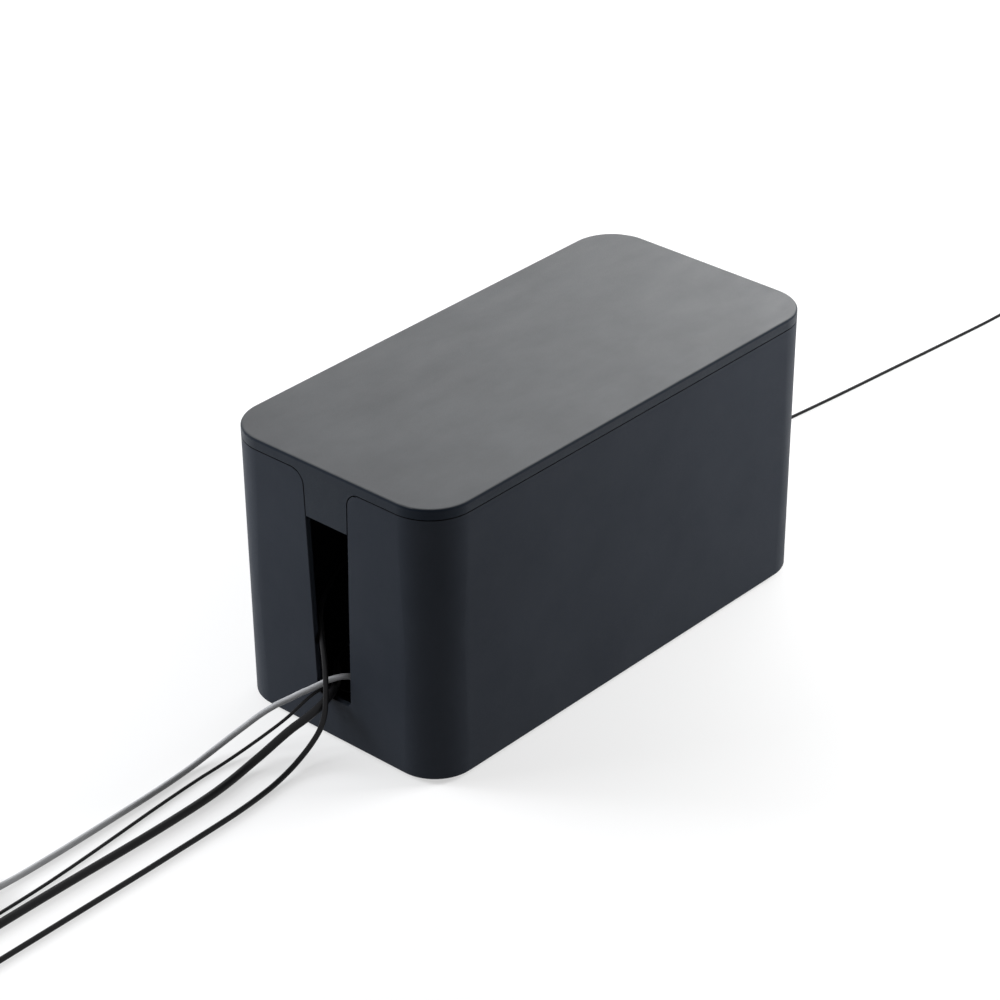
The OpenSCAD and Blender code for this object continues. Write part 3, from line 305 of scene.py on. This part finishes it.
def loft(mesh, rings, closed=False):
    """Faces between rings of equal numbers of points. Its ends meet, or they get caps."""
    rows = [[mesh.verts.new(p) for p in ring] for ring in rings]
    count = len(rows[0])
    following = rows[1:] + rows[:1] if closed else rows[1:]
    for a, b in zip(rows, following):
        for j in range(count):
            k = (j + 1) % count
            mesh.faces.new((a[j], a[k], b[k], b[j]))
    if not closed:
        mesh.faces.new(rows[0][::-1])
        mesh.faces.new(rows[-1])


# Ties
TIE_THICKNESS = 0.8
TIE_GAP = 0.3  # round the bundle
TIE_CORNER = 1.4  # largest radius of the corners
TIE_CORNER_SHARE = 0.45  # largest radius as a share of half a side
TIE_CORNER_STEPS = 6
# Section of the strap, in half widths and half thicknesses
TIE_SECTION = (
    (-1, -0.6), (-0.86, -1), (0.86, -1), (1, -0.6), (1, 0.6), (0.86, 1), (-0.86, 1), (-1, 0.6),
)
HEAD_DEPTH = 1.5  # in strap thicknesses
HEAD_WIDTH = 1.3  # in strap widths
HEAD_HEIGHT = 3.2  # largest, in strap thicknesses
HEAD_HEIGHT_SHARE = 0.62  # largest, as a share of the bundle's height
HEAD_CHAMFER = 0.2


def tie_strap(mesh, plan, centre, half_u, half_z):
    """Closed strap in the plane of its radius and the vertical, with rounded corners."""
    corner = min(TIE_CORNER, half_u * TIE_CORNER_SHARE, half_z * TIE_CORNER_SHARE)
    radial = along(plan["tie_angle"])
    across = along(plan["tie_angle"] + pi / 2)
    rings = []
    for quarter in range(4):
        corner_u = (half_u - corner) * (1 if quarter in (0, 3) else -1)
        corner_z = (half_z - corner) * (1 if quarter in (0, 1) else -1)
        for k in range(TIE_CORNER_STEPS + 1):
            angle = radians(90 * quarter + 90 * k / TIE_CORNER_STEPS)
            out = radial * cos(angle) + upward(sin(angle))
            place = centre + radial * corner_u + upward(corner_z) + out * corner
            ring = []
            for u, v in TIE_SECTION:
                beside = across * u * plan["tie_width"] / 2
                ring.append((place + beside + out * v * TIE_THICKNESS / 2) * MM)
            rings.append(ring)
    loft(mesh, rings, closed=True)


def tie_head(mesh, plan, place, height):
    """Chamfered block on the strap's outer side."""
    radial = along(plan["tie_angle"])
    across = along(plan["tie_angle"] + pi / 2)
    cut = HEAD_CHAMFER
    deep = HEAD_DEPTH * TIE_THICKNESS
    wide = HEAD_WIDTH * plan["tie_width"]
    tall = min(HEAD_HEIGHT * TIE_THICKNESS, HEAD_HEIGHT_SHARE * height)
    rings = []
    for s, inset in ((-deep / 2, cut), (cut - deep / 2, 0), (deep / 2 - cut, 0), (deep / 2, cut)):
        u, v = wide / 2 - inset, tall / 2 - inset
        corners = ((-u, cut - v), (cut - u, -v), (u - cut, -v), (u, cut - v),
                   (u, v - cut), (u - cut, v), (cut - u, v), (-u, v - cut))
        rings.append([(place + radial * s + across * a + upward(b)) * MM for a, b in corners])
    loft(mesh, rings)


def tie_piece(name, plan):
    """Strap round the bundle with rounded edges, and a small head on its outer side."""
    eye = plan["radius"] - plan["reach"]
    inner = eye * sqrt(1 - (plan["tie_width"] / 2 / eye) ** 2) - TIE_GAP
    outer = plan["radius"] + plan["reach"] + TIE_GAP
    height = plan["stack"] + 2 * TIE_GAP
    half_u = (outer - inner + TIE_THICKNESS) / 2
    half_z = (height + TIE_THICKNESS) / 2
    radial = along(plan["tie_angle"])
    centre = Vector((plan["middle"].x, plan["middle"].y, 0)) + radial * (inner + outer) / 2
    centre.z = TIE_THICKNESS + height / 2
    mesh = bmesh.new()
    tie_strap(mesh, plan, centre, half_u, half_z)
    tie_head(mesh, plan, centre + radial * (half_u + TIE_THICKNESS / 2), height)
    return new_piece(name, mesh, "tie_black", "box")


# Plugs, along which distances are measured from the end of the lead
RIBS = 4  # of the strain relief, with a groove behind each
RIB_STEP = 1.5
GROOVE_FLOOR = 0.5
BARREL_SIDES = 72
BARREL_WALL = 1.1  # of the strain relief round the lead
BARREL_FIRST_RIB = 1.1
BARREL_GROOVE = (0.12, 0.42, 0.02)  # length of its slopes, depth, growth of the radius
BARREL_SHOULDER = 8
FLUTES = 12
FLUTE_DEPTH = 0.32
FLUTE_START = 11
FLUTE_END = 23.2
SUPPLY_SIDES = 64
SUPPLY_WALL = 0.8
SUPPLY_FIRST_RIB = 1
SUPPLY_GROOVE = (0.15, 0.5, 0.1)
SUPPLY_SHOULDER = 7
SUPPLY_TAPER = 1.6  # by which the strain relief's radius grows up to the shoulder
SUPPLY_HALF_WIDTH = 11
GRIP_HALF_WIDTH = 10.6
GRIP_START = 15
GRIP_RIDGES = 6
GRIP_STEP = 1.9
GRIP_INSET = 0.25  # of the bottom of a groove at the sides
GRIP_DEPTH = 0.4  # of a groove above and below


def groove(start, radius, slope, depth, rise):
    """Points of a groove behind a rib. The next rib starts with the radius grown by rise."""
    foot = start + slope + GROOVE_FLOOR
    return [(start, radius), (start + slope, radius - depth), (foot, radius - depth),
            (foot + slope, radius + rise)]


def barrel_profile(lead_radius, height):
    """Distance along the plug and radius: ribbed relief, shoulder, and grip."""
    tip = lead_radius + BARREL_WALL
    neck = tip + (height - tip) / 4
    profile = [(0, tip - 0.3), (0.25, tip)]
    for k in range(RIBS):
        s = BARREL_FIRST_RIB + RIB_STEP * k
        r = tip + (neck - tip) * s / BARREL_SHOULDER
        profile += groove(s, r, *BARREL_GROOVE)
    profile += [(7.6, neck), (BARREL_SHOULDER, neck + 0.25), (8.35, height - 0.45),
                (8.75, height - 0.1)]
    grip = (9.4, 10.4, 11, 11.6, 12.4, 14, 16, 18, 20, 21.6, 22.4, 23, 23.6, 25)
    profile += [(s, height) for s in grip]
    return profile + [(26.4, height - 0.02), (27.3, height - 0.3), (27.8, height - 0.75),
                      (28, height - 1.3)]


def barrel_plug_piece(name, plan, slot):
    """Moulded grip of a barrel plug, round and fluted."""
    way = plan["way"]
    side = Vector((-way.y, way.x, 0))
    mesh = bmesh.new()
    rings = []
    for s, r in barrel_profile(plan["diameter"] / 2, plan["end"].z):
        ring = []
        for j in range(BARREL_SIDES):
            angle = 2 * pi * j / BARREL_SIDES
            fluted = FLUTE_START < s < FLUTE_END
            depth = FLUTE_DEPTH * (0.5 - 0.5 * cos(FLUTES * angle)) if fluted else 0
            reach = r - depth
            round_it = side * reach * cos(angle) + upward(reach * sin(angle))
            ring.append((plan["end"] + way * s + round_it) * MM)
        rings.append(ring)
    loft(mesh, rings)
    return new_piece(name, mesh, slot, "box")


def supply_sections(lead_radius, half_height):
    """Distance along the plug, half width, half height, and squareness of each section."""
    wide = SUPPLY_HALF_WIDTH
    start = lead_radius + SUPPLY_WALL
    sections = [(0, start - 0.3, start - 0.3, 2), (0.3, start, start, 2)]
    for k in range(RIBS):
        s = SUPPLY_FIRST_RIB + RIB_STEP * k
        r = start + SUPPLY_TAPER * s / SUPPLY_SHOULDER
        sections += [(a, b, b, 2) for a, b in groove(s, r, *SUPPLY_GROOVE)]
    sections += [(SUPPLY_SHOULDER, 4.2, 4.15, 2), (7.4, 5.6, 4.7, 2.2), (8.4, 7.8, 5.5, 2.6),
                 (10, 9.5, 6.2, 3), (12, 10.3, half_height - 0.25, 3.6),
                 (14, GRIP_HALF_WIDTH, half_height, 4)]
    inner_width = GRIP_HALF_WIDTH - GRIP_INSET
    inner_height = half_height - GRIP_DEPTH
    for k in range(GRIP_RIDGES):
        s = GRIP_START + GRIP_STEP * k
        sections += [(s, GRIP_HALF_WIDTH, half_height, 4), (s + 0.2, inner_width, inner_height, 4),
                     (s + 0.9, inner_width, inner_height, 4),
                     (s + 1.1, GRIP_HALF_WIDTH, half_height, 4)]
    return sections + [(27.5, 10.8, half_height, 4), (29.5, wide, half_height, 4.4),
                       (32, wide, half_height, 4.6),
                       (32.7, wide - 0.25, half_height - 0.25, 4.6),
                       (33, wide - 0.9, half_height - 0.9, 4.6)]


def supply_plug_piece(name, plan):
    """Moulded plug: ribbed tapered neck, shoulders, and a body with grip ridges all round."""
    way = plan["way"]
    side = Vector((-way.y, way.x, 0))
    mesh = bmesh.new()
    rings = []
    for s, w, h, power in supply_sections(plan["diameter"] / 2, plan["end"].z):
        ring = []
        for j in range(SUPPLY_SIDES):
            angle = 2 * pi * j / SUPPLY_SIDES
            c, n = cos(angle), sin(angle)
            u = abs(c) ** (2 / power) * (1 if c > 0 else -1) * w
            v = abs(n) ** (2 / power) * (1 if n > 0 else -1) * h
            ring.append((plan["end"] + way * s + side * u + upward(v)) * MM)
        rings.append(ring)
    loft(mesh, rings)
    return new_piece(name, mesh, "plug_black", "box")


# Marks on the rocker
ROCKER_PIVOT = Vector((-48.03, 35.03, 33.3))
ROCKER_TILT = 8  # of each face, in degrees
ROCKER_RIDGE = 2.2  # height of the ridge between the faces over the pivot
ROCKER_MARK = 4.1  # distance of each mark from the ridge
MARK_LOW = -0.05  # from the face, so that the mark is sunk in it
MARK_HIGH = 0.06
MARK_CUT = 0.02  # chamfer of the upper edges
O_INNER = 0.82
O_OUTER = 1.18
O_SIDES = 48
I_HALF_LENGTH = 1.2
I_HALF_WIDTH = 0.2


def rocker_marks():
    """Moulded-in O and I on the two faces of the rocker, just proud of them."""
    rise = tan(radians(ROCKER_TILT))
    edge = MARK_HIGH - MARK_CUT
    mesh = bmesh.new()

    def lifted(x, y, z):
        return Vector((x, y, ROCKER_RIDGE + abs(y) * rise + z))

    rings = []
    for reach, z in ((O_INNER, MARK_LOW), (O_INNER, edge), (O_INNER + MARK_CUT, MARK_HIGH),
                     (O_OUTER - MARK_CUT, MARK_HIGH), (O_OUTER, edge), (O_OUTER, MARK_LOW)):
        spokes = [reach * along(2 * pi * k / O_SIDES) for k in range(O_SIDES)]
        rings.append([lifted(p.x, ROCKER_MARK + p.y, z) for p in spokes])
    loft(mesh, rings, closed=True)
    rings = []
    for inset, z in ((0, MARK_LOW), (0, edge), (MARK_CUT, MARK_HIGH)):
        u, v = I_HALF_LENGTH - inset, I_HALF_WIDTH - inset
        corners = ((-u, -v), (u, -v), (u, v), (-u, v))
        rings.append([lifted(x, y - ROCKER_MARK, z) for x, y in corners])
    loft(mesh, rings)
    tilt = Matrix.Rotation(radians(-ROCKER_TILT), 4, "X")
    place = Matrix.Translation(ROCKER_PIVOT) @ tilt
    for v in mesh.verts:
        v.co = (place @ v.co) * MM
    return new_piece("rocker_marks", mesh, "reset_white", "rocker", shade_smooth=False)


def make_leads():
    for name in LEADS:
        plan = plan_lead(name)
        gray = name == "gray"
        piece = lead_curve(name + "_lead", plan)
        slot = "cord_gray" if gray else "cord_black"
        piece.data.materials.append(bpy.data.materials[slot])
        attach(piece, "box")
        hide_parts(name + "_run", name + "_coil")
        tie = tie_piece(name + "_lead_tie", plan)
        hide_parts(name + "_tie")
        if name == "supply":
            plug = supply_plug_piece("supply_lead_plug", plan)
        else:
            plug_slot = "plug_gray" if gray else "plug_black"
            plug = barrel_plug_piece(name + "_lead_plug", plan, plug_slot)
        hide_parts(name + "_plug")


make_leads()
rocker_marks()

# Materials
NOISE_LOW = 0.3  # most of a noise lies between these two
NOISE_HIGH = 0.7
PATCH_DETAIL = 4
PATCH_ROUGHNESS = 0.6
GRAIN_DETAIL = 2
BUMP_DEPTH = 0.03 * MM
IOR = 1.5
PAINTED_SHEEN_START = 0.75  # upward part of the normal from which a face starts to get the painted sheen of a top
PAINTED_SHEEN_FULL = 0.95
SIDE_GLOSS = (82, 90, 104)
TOP_GLOSS = (255, 255, 255)
# Painted shade: ambient occlusion darkens the colour in gaps and crevices
PAINTED_SHADE_CLOSED = 0.7  # openness of a point at which the painted shade in a gap is darkest
PAINTED_SHADE_COLOUR = (4, 4, 5)
PAINTED_SHADE_SAMPLES = 8
SMEAR_TURN = 28  # in degrees
SMEAR_STRETCH = (1, 2.6, 1)
SMEAR_SCALE = 38
SMEAR_DETAIL = 7
SMEAR_ROUGHNESS = 0.72


def linear(*levels):
    """Colour from 0-255 display levels."""
    values = [v / 255 for v in levels]
    return [v / 12.92 if v <= 0.04045 else ((v + 0.055) / 1.055) ** 2.4 for v in values] + [1]


class Tree:
    """Nodes of a material, with the few steps that the finishes are made of."""

    def __init__(self, tree):
        self.add = tree.nodes.new
        self.join = tree.links.new

    def noise(self, vector, scale, detail, roughness=0.5):
        node = self.add("ShaderNodeTexNoise")
        node.inputs["Scale"].default_value = scale
        node.inputs["Detail"].default_value = detail
        node.inputs["Roughness"].default_value = roughness
        self.join(vector, node.inputs["Vector"])
        return node.outputs["Fac"]

    def ranged(self, value, low, high, to_low=0, to_high=1):
        node = self.add("ShaderNodeMapRange")
        node.inputs["From Min"].default_value = low
        node.inputs["From Max"].default_value = high
        node.inputs["To Min"].default_value = to_low
        node.inputs["To Max"].default_value = to_high
        self.join(value, node.inputs["Value"])
        return node.outputs["Result"]

    def mixed(self, factor, first, second):
        node = self.add("ShaderNodeMix")
        node.data_type = "RGBA"
        self.join(factor, node.inputs["Factor"])
        for socket, colour in ((node.inputs[6], first), (node.inputs[7], second)):
            if isinstance(colour, tuple):
                socket.default_value = linear(*colour)
            else:
                self.join(colour, socket)
        return node.outputs[2]


def smeared(tree, place, shine, smudge):
    """Roughness with wiped smears added to it."""
    wiped = tree.add("ShaderNodeMapping")
    wiped.inputs["Rotation"].default_value[2] = radians(SMEAR_TURN)
    wiped.inputs["Scale"].default_value = SMEAR_STRETCH
    tree.join(place, wiped.inputs["Vector"])
    smears = tree.noise(wiped.outputs["Vector"], SMEAR_SCALE, SMEAR_DETAIL, SMEAR_ROUGHNESS)
    total = tree.add("ShaderNodeMath")
    tree.join(shine, total.inputs[0])
    tree.join(tree.ranged(smears, NOISE_LOW, NOISE_HIGH, -smudge, smudge), total.inputs[1])
    return total.outputs[0]


def finish(slot, dark, light, roughness, spread=0.06, patch=45, grain=1800, bump=0.2,
           metallic=0, specular=0.5, coat=0, transmission=0, painted_sheen_top=None, smudge=0, painted_shade_reach=0):
    """Procedural finish: colour patches, roughness that varies with the grain, a fine bump.

    painted_sheen_top holds the dark and the light colour of faces that look up, a painted sheen
    lighter than the sides. smudge is how far wiped smears change the roughness.
    painted_shade_reach is the distance, in metres, within which another surface makes a gap
    darkened by painted shade."""
    material = bpy.data.materials[slot]
    material.use_nodes = True
    material.node_tree.nodes.clear()
    tree = Tree(material.node_tree)
    output = tree.add("ShaderNodeOutputMaterial")
    shader = tree.add("ShaderNodeBsdfPrincipled")
    tree.join(shader.outputs["BSDF"], output.inputs["Surface"])
    place = tree.add("ShaderNodeTexCoord")
    here = place.outputs["Object"]
    patches = tree.noise(here, patch, PATCH_DETAIL, PATCH_ROUGHNESS)
    spots = tree.ranged(patches, NOISE_LOW, NOISE_HIGH)
    colour = tree.mixed(spots, dark, light)
    # Faces that look up get a lighter colour, a painted sheen; the sides keep the plastic's own
    # colour and a dimmer specular tint
    if painted_sheen_top:
        parts = tree.add("ShaderNodeSeparateXYZ")
        tree.join(place.outputs["Normal"], parts.inputs["Vector"])
        painted_sheen_mask = tree.ranged(parts.outputs["Z"], PAINTED_SHEEN_START, PAINTED_SHEEN_FULL)
        colour = tree.mixed(painted_sheen_mask, colour, tree.mixed(spots, *painted_sheen_top))
        tint = tree.mixed(painted_sheen_mask, SIDE_GLOSS, TOP_GLOSS)
        tree.join(tint, shader.inputs["Specular Tint"])
    # Ambient occlusion darkens the colour towards near-black in gaps and crevices: painted shade
    if painted_shade_reach:
        narrow = tree.add("ShaderNodeAmbientOcclusion")
        narrow.samples = PAINTED_SHADE_SAMPLES
        narrow.inputs["Distance"].default_value = painted_shade_reach
        open_sky = tree.ranged(narrow.outputs["AO"], PAINTED_SHADE_CLOSED, 1)
        colour = tree.mixed(open_sky, PAINTED_SHADE_COLOUR, colour)
    tree.join(colour, shader.inputs["Base Color"])
    fine = tree.noise(here, grain, GRAIN_DETAIL)
    shine = tree.ranged(fine, NOISE_LOW, NOISE_HIGH, roughness - spread, roughness + spread)
    if smudge:
        shine = smeared(tree, here, shine, smudge)
    tree.join(shine, shader.inputs["Roughness"])
    relief = tree.add("ShaderNodeBump")
    relief.inputs["Strength"].default_value = bump
    relief.inputs["Distance"].default_value = BUMP_DEPTH
    tree.join(fine, relief.inputs["Height"])
    tree.join(relief.outputs["Normal"], shader.inputs["Normal"])
    shader.inputs["Metallic"].default_value = metallic
    shader.inputs["IOR"].default_value = IOR
    shader.inputs["Specular IOR Level"].default_value = specular
    shader.inputs["Coat Weight"].default_value = coat
    shader.inputs["Transmission Weight"].default_value = transmission


# Both plastics darken in their gaps and crevices: painted shade
finish("box_plastic", (37, 41, 48), (41, 45, 52), 0.5, specular=0.07, patch=30, grain=2600,
       bump=0.25, smudge=0.035, painted_shade_reach=0.0024)
# The lid's faces that look up are painted lighter than its sides: a painted sheen on the same
# plastic
finish("lid_plastic", (22, 27, 34), (26, 31, 38), 0.5, specular=0.4, patch=30, grain=2600,
       bump=0.25, painted_sheen_top=((49, 51, 54), (58, 60, 63)), smudge=0.035, painted_shade_reach=0.0024)
finish("foot_rubber", (24, 24, 26), (32, 32, 34), 0.85, patch=220, grain=1500, bump=0.4,
       specular=0.3)
finish("strip_plastic", (40, 41, 45), (48, 49, 53), 0.48, patch=60, grain=2200, bump=0.3)
finish("screw_steel", (150, 152, 156), (178, 180, 184), 0.34, metallic=1, patch=400,
       grain=3000, bump=0.15)
finish("contact_brass", (176, 140, 66), (206, 170, 92), 0.32, metallic=1, patch=160,
       grain=2600, bump=0.15)
finish("switch_black", (24, 24, 26), (31, 31, 33), 0.36, patch=120, grain=2400, bump=0.12)
finish("switch_red", (160, 26, 20), (182, 36, 28), 0.3, patch=150, grain=2600, bump=0.1)
finish("reset_white", (206, 206, 202), (222, 222, 218), 0.38, patch=200, grain=2600, bump=0.1)
finish("lens_amber", (206, 82, 22), (228, 104, 36), 0.18, spread=0.04, patch=240, grain=2000,
       bump=0.05, transmission=0.25, coat=0.3)
finish("relief_black", (26, 27, 29), (34, 35, 37), 0.6, patch=150, bump=0.3, specular=0.3)
finish("relief_gray", (120, 121, 123), (134, 135, 137), 0.6, patch=150, bump=0.3)
finish("adapter_black", (33, 34, 37), (41, 42, 45), 0.46, patch=70, grain=2300, bump=0.28)
finish("adapter_gray", (196, 197, 198), (210, 211, 212), 0.44, patch=70, grain=2300, bump=0.28)
finish("adapter_base_black", (24, 25, 28), (32, 33, 36), 0.5, patch=90, grain=2300, bump=0.25)
finish("blade_metal", (184, 186, 190), (208, 210, 214), 0.26, metallic=1, patch=260,
       grain=3200, bump=0.12)
finish("cord_black", (13, 13, 15), (20, 20, 22), 0.5, patch=110, grain=1300, bump=0.25,
       specular=0.2)
finish("cord_gray", (158, 159, 161), (172, 173, 175), 0.5, patch=110, grain=1300, bump=0.25)
finish("tie_black", (20, 21, 24), (28, 29, 32), 0.42, patch=200, grain=1500)
finish("plug_black", (24, 25, 28), (33, 34, 37), 0.5, patch=110, bump=0.3)
finish("plug_gray", (128, 129, 131), (142, 143, 145), 0.5, patch=110, bump=0.3)

# Edges of the CAD nodes, merged, smooth-shaded and lightly rounded as moulded edges are
MERGE_DISTANCE = 0.005 * MM
EDGE_WIDTH = 0.18
EDGE_WIDTHS = {"box_body": 0.25, "lid": 0.3, "strip_cover": 0.3, "strip_base": 0.3}
EDGE_SEGMENTS = 2
EDGE_ANGLE = 32  # least angle of an edge that is rounded, in degrees
LID_EDGE_ANGLE = 60  # larger, because the mesh has the round top edge already
FACE_WEIGHT = 60  # how much more large faces count in the normals


def smooth_group():
    group = bpy.data.node_groups.new("merged_and_smooth", "GeometryNodeTree")
    for way in ("INPUT", "OUTPUT"):
        group.interface.new_socket("Geometry", in_out=way, socket_type="NodeSocketGeometry")
    start = group.nodes.new("NodeGroupInput")
    merge = group.nodes.new("GeometryNodeMergeByDistance")
    merge.inputs["Distance"].default_value = MERGE_DISTANCE
    bare = group.nodes.new("GeometryNodeRemoveAttribute")
    bare.inputs["Name"].default_value = "custom_normal"
    shade = group.nodes.new("GeometryNodeSetShadeSmooth")
    end = group.nodes.new("NodeGroupOutput")
    for a, b in ((start, merge), (merge, bare), (bare, shade), (shade, end)):
        group.links.new(a.outputs[0], b.inputs[0])
    return group


def round_edges():
    """Rounds the nodes that stay visible, and merges again what a narrow rounding collapses."""
    group = smooth_group()
    for node, piece in nodes.items():
        if node.endswith(("_run", "_coil", "_tie", "_plug")):
            continue
        merged = piece.modifiers.new("merged", "NODES")
        merged.node_group = group
        edge = piece.modifiers.new("edge", "BEVEL")
        edge.width = EDGE_WIDTHS.get(node, EDGE_WIDTH) * MM
        edge.segments = EDGE_SEGMENTS
        edge.limit_method = "ANGLE"
        edge.angle_limit = radians(LID_EDGE_ANGLE if node == "lid" else EDGE_ANGLE)
        edge.use_clamp_overlap = node != "box_body"
        cleaned = piece.modifiers.new("cleaned", "NODES")
        cleaned.node_group = group
        normals = piece.modifiers.new("normals", "WEIGHTED_NORMAL")
        normals.weight = FACE_WEIGHT
        normals.keep_sharp = False


round_edges()

# Floor, world and lights
FLOOR_HALF = 4
FLOOR_DROP = 0.2 * MM
FLOOR_TONE = (0.4, 0.4, 0.4, 1)
WHITE = (1, 1, 1, 1)
GLOW_START = 0.1  # distances from the origin between which the glow grows, in metres
GLOW_END = 1.1
GLOW_NEAR = 0.55  # low enough for the shadow to show
GLOW_FAR = 0.94
WORLD_LEVEL = 0.2  # strength as a light, while it looks white


def maths(tree, operation, first, second):
    step = tree.nodes.new("ShaderNodeMath")
    step.operation = operation
    tree.links.new(first, step.inputs[0])
    tree.links.new(second, step.inputs[1])
    return step.outputs[0]


def seen_directly(tree):
    """1 for camera, glossy and transmission rays, and 0 for the rays that light things."""
    path = tree.nodes.new("ShaderNodeLightPath")
    first = maths(tree, "MAXIMUM", path.outputs["Is Camera Ray"], path.outputs["Is Glossy Ray"])
    return maths(tree, "MAXIMUM", first, path.outputs["Is Transmission Ray"])


def floor_material():
    """Pale floor with a glow that only shows and lights nothing, stronger further out."""
    material = bpy.data.materials.new("floor_pale")
    material.use_nodes = True
    tree = material.node_tree
    tree.nodes.clear()
    join = tree.links.new
    output = tree.nodes.new("ShaderNodeOutputMaterial")
    pale = tree.nodes.new("ShaderNodeBsdfDiffuse")
    pale.inputs["Color"].default_value = FLOOR_TONE
    glow = tree.nodes.new("ShaderNodeEmission")
    glow.inputs["Color"].default_value = WHITE
    both = tree.nodes.new("ShaderNodeAddShader")
    place = tree.nodes.new("ShaderNodeTexCoord")
    distance = tree.nodes.new("ShaderNodeVectorMath")
    distance.operation = "LENGTH"
    join(place.outputs["Object"], distance.inputs[0])
    paleness = tree.nodes.new("ShaderNodeMapRange")
    paleness.interpolation_type = "SMOOTHSTEP"
    paleness.inputs["From Min"].default_value = GLOW_START
    paleness.inputs["From Max"].default_value = GLOW_END
    paleness.inputs["To Min"].default_value = GLOW_NEAR
    paleness.inputs["To Max"].default_value = GLOW_FAR
    join(distance.outputs["Value"], paleness.inputs["Value"])
    level = maths(tree, "MULTIPLY", seen_directly(tree), paleness.outputs["Result"])
    join(level, glow.inputs["Strength"])
    join(pale.outputs[0], both.inputs[0])
    join(glow.outputs[0], both.inputs[1])
    join(both.outputs[0], output.inputs["Surface"])
    return material


def make_floor():
    mesh = bmesh.new()
    bmesh.ops.create_grid(mesh, x_segments=2, y_segments=2, size=FLOOR_HALF)
    data = bpy.data.meshes.new("floor")
    mesh.to_mesh(data)
    mesh.free()
    data.materials.append(floor_material())
    plane = bpy.data.objects.new("floor", data)
    plane.location = (0, 0, -FLOOR_DROP)
    link(plane)


def make_world():
    world = bpy.data.worlds.new("studio")
    bpy.context.scene.world = world
    world.use_nodes = True
    tree = world.node_tree
    tree.nodes.clear()
    output = tree.nodes.new("ShaderNodeOutputWorld")
    back = tree.nodes.new("ShaderNodeBackground")
    back.inputs["Color"].default_value = WHITE
    amount = tree.nodes.new("ShaderNodeMapRange")
    amount.inputs["To Min"].default_value = WORLD_LEVEL
    amount.inputs["To Max"].default_value = 1
    tree.links.new(seen_directly(tree), amount.inputs["Value"])
    tree.links.new(amount.outputs["Result"], back.inputs["Strength"])
    tree.links.new(back.outputs[0], output.inputs["Surface"])


MIDDLE = (0, 0, 0.07)
# Name: place, aim, width, height, power, colour, whether it shows in reflections
LIGHTS = {
    "wide_back": ((1.25, 1.1, 1.05), MIDDLE, 1.6, 1, 5, (1, 1, 1), True),
    "far_end": ((0.6, 0.16, 0.42), MIDDLE, 0.4, 0.3, 1.15, (1, 1, 1), True),
    "low_back": ((0.5, 0.3, 0.3), MIDDLE, 0.5, 0.3, 0.5, (1, 1, 1), True),
    "left_back": ((-0.5, 0.9, 0.4), MIDDLE, 0.5, 0.4, 12.5, (0.95, 0.97, 1), False),
    "left": ((-0.6, 0.5, 0.6), (-0.05, 0, 0.05), 0.4, 0.4, 3.5, (0.97, 0.98, 1), False),
    "right": ((0.38, -0.34, 0.36), (0.02, 0, 0.07), 0.25, 0.25, 3.8, (1, 1, 1), False),
}


def make_lights():
    for name, (place, aim, width, height, power, colour, mirrored) in LIGHTS.items():
        data = bpy.data.lights.new(name, "AREA")
        data.shape = "RECTANGLE"
        data.size = width
        data.size_y = height
        data.energy = power
        data.color = colour
        lamp = bpy.data.objects.new(name, data)
        lamp.location = place
        gaze = Vector(aim) - Vector(place)
        lamp.rotation_euler = gaze.to_track_quat("-Z", "Y").to_euler()
        lamp.visible_camera = False
        lamp.visible_glossy = mirrored
        link(lamp)


make_floor()
make_world()
make_lights()
bpy.context.scene.view_settings.view_transform = "Standard"
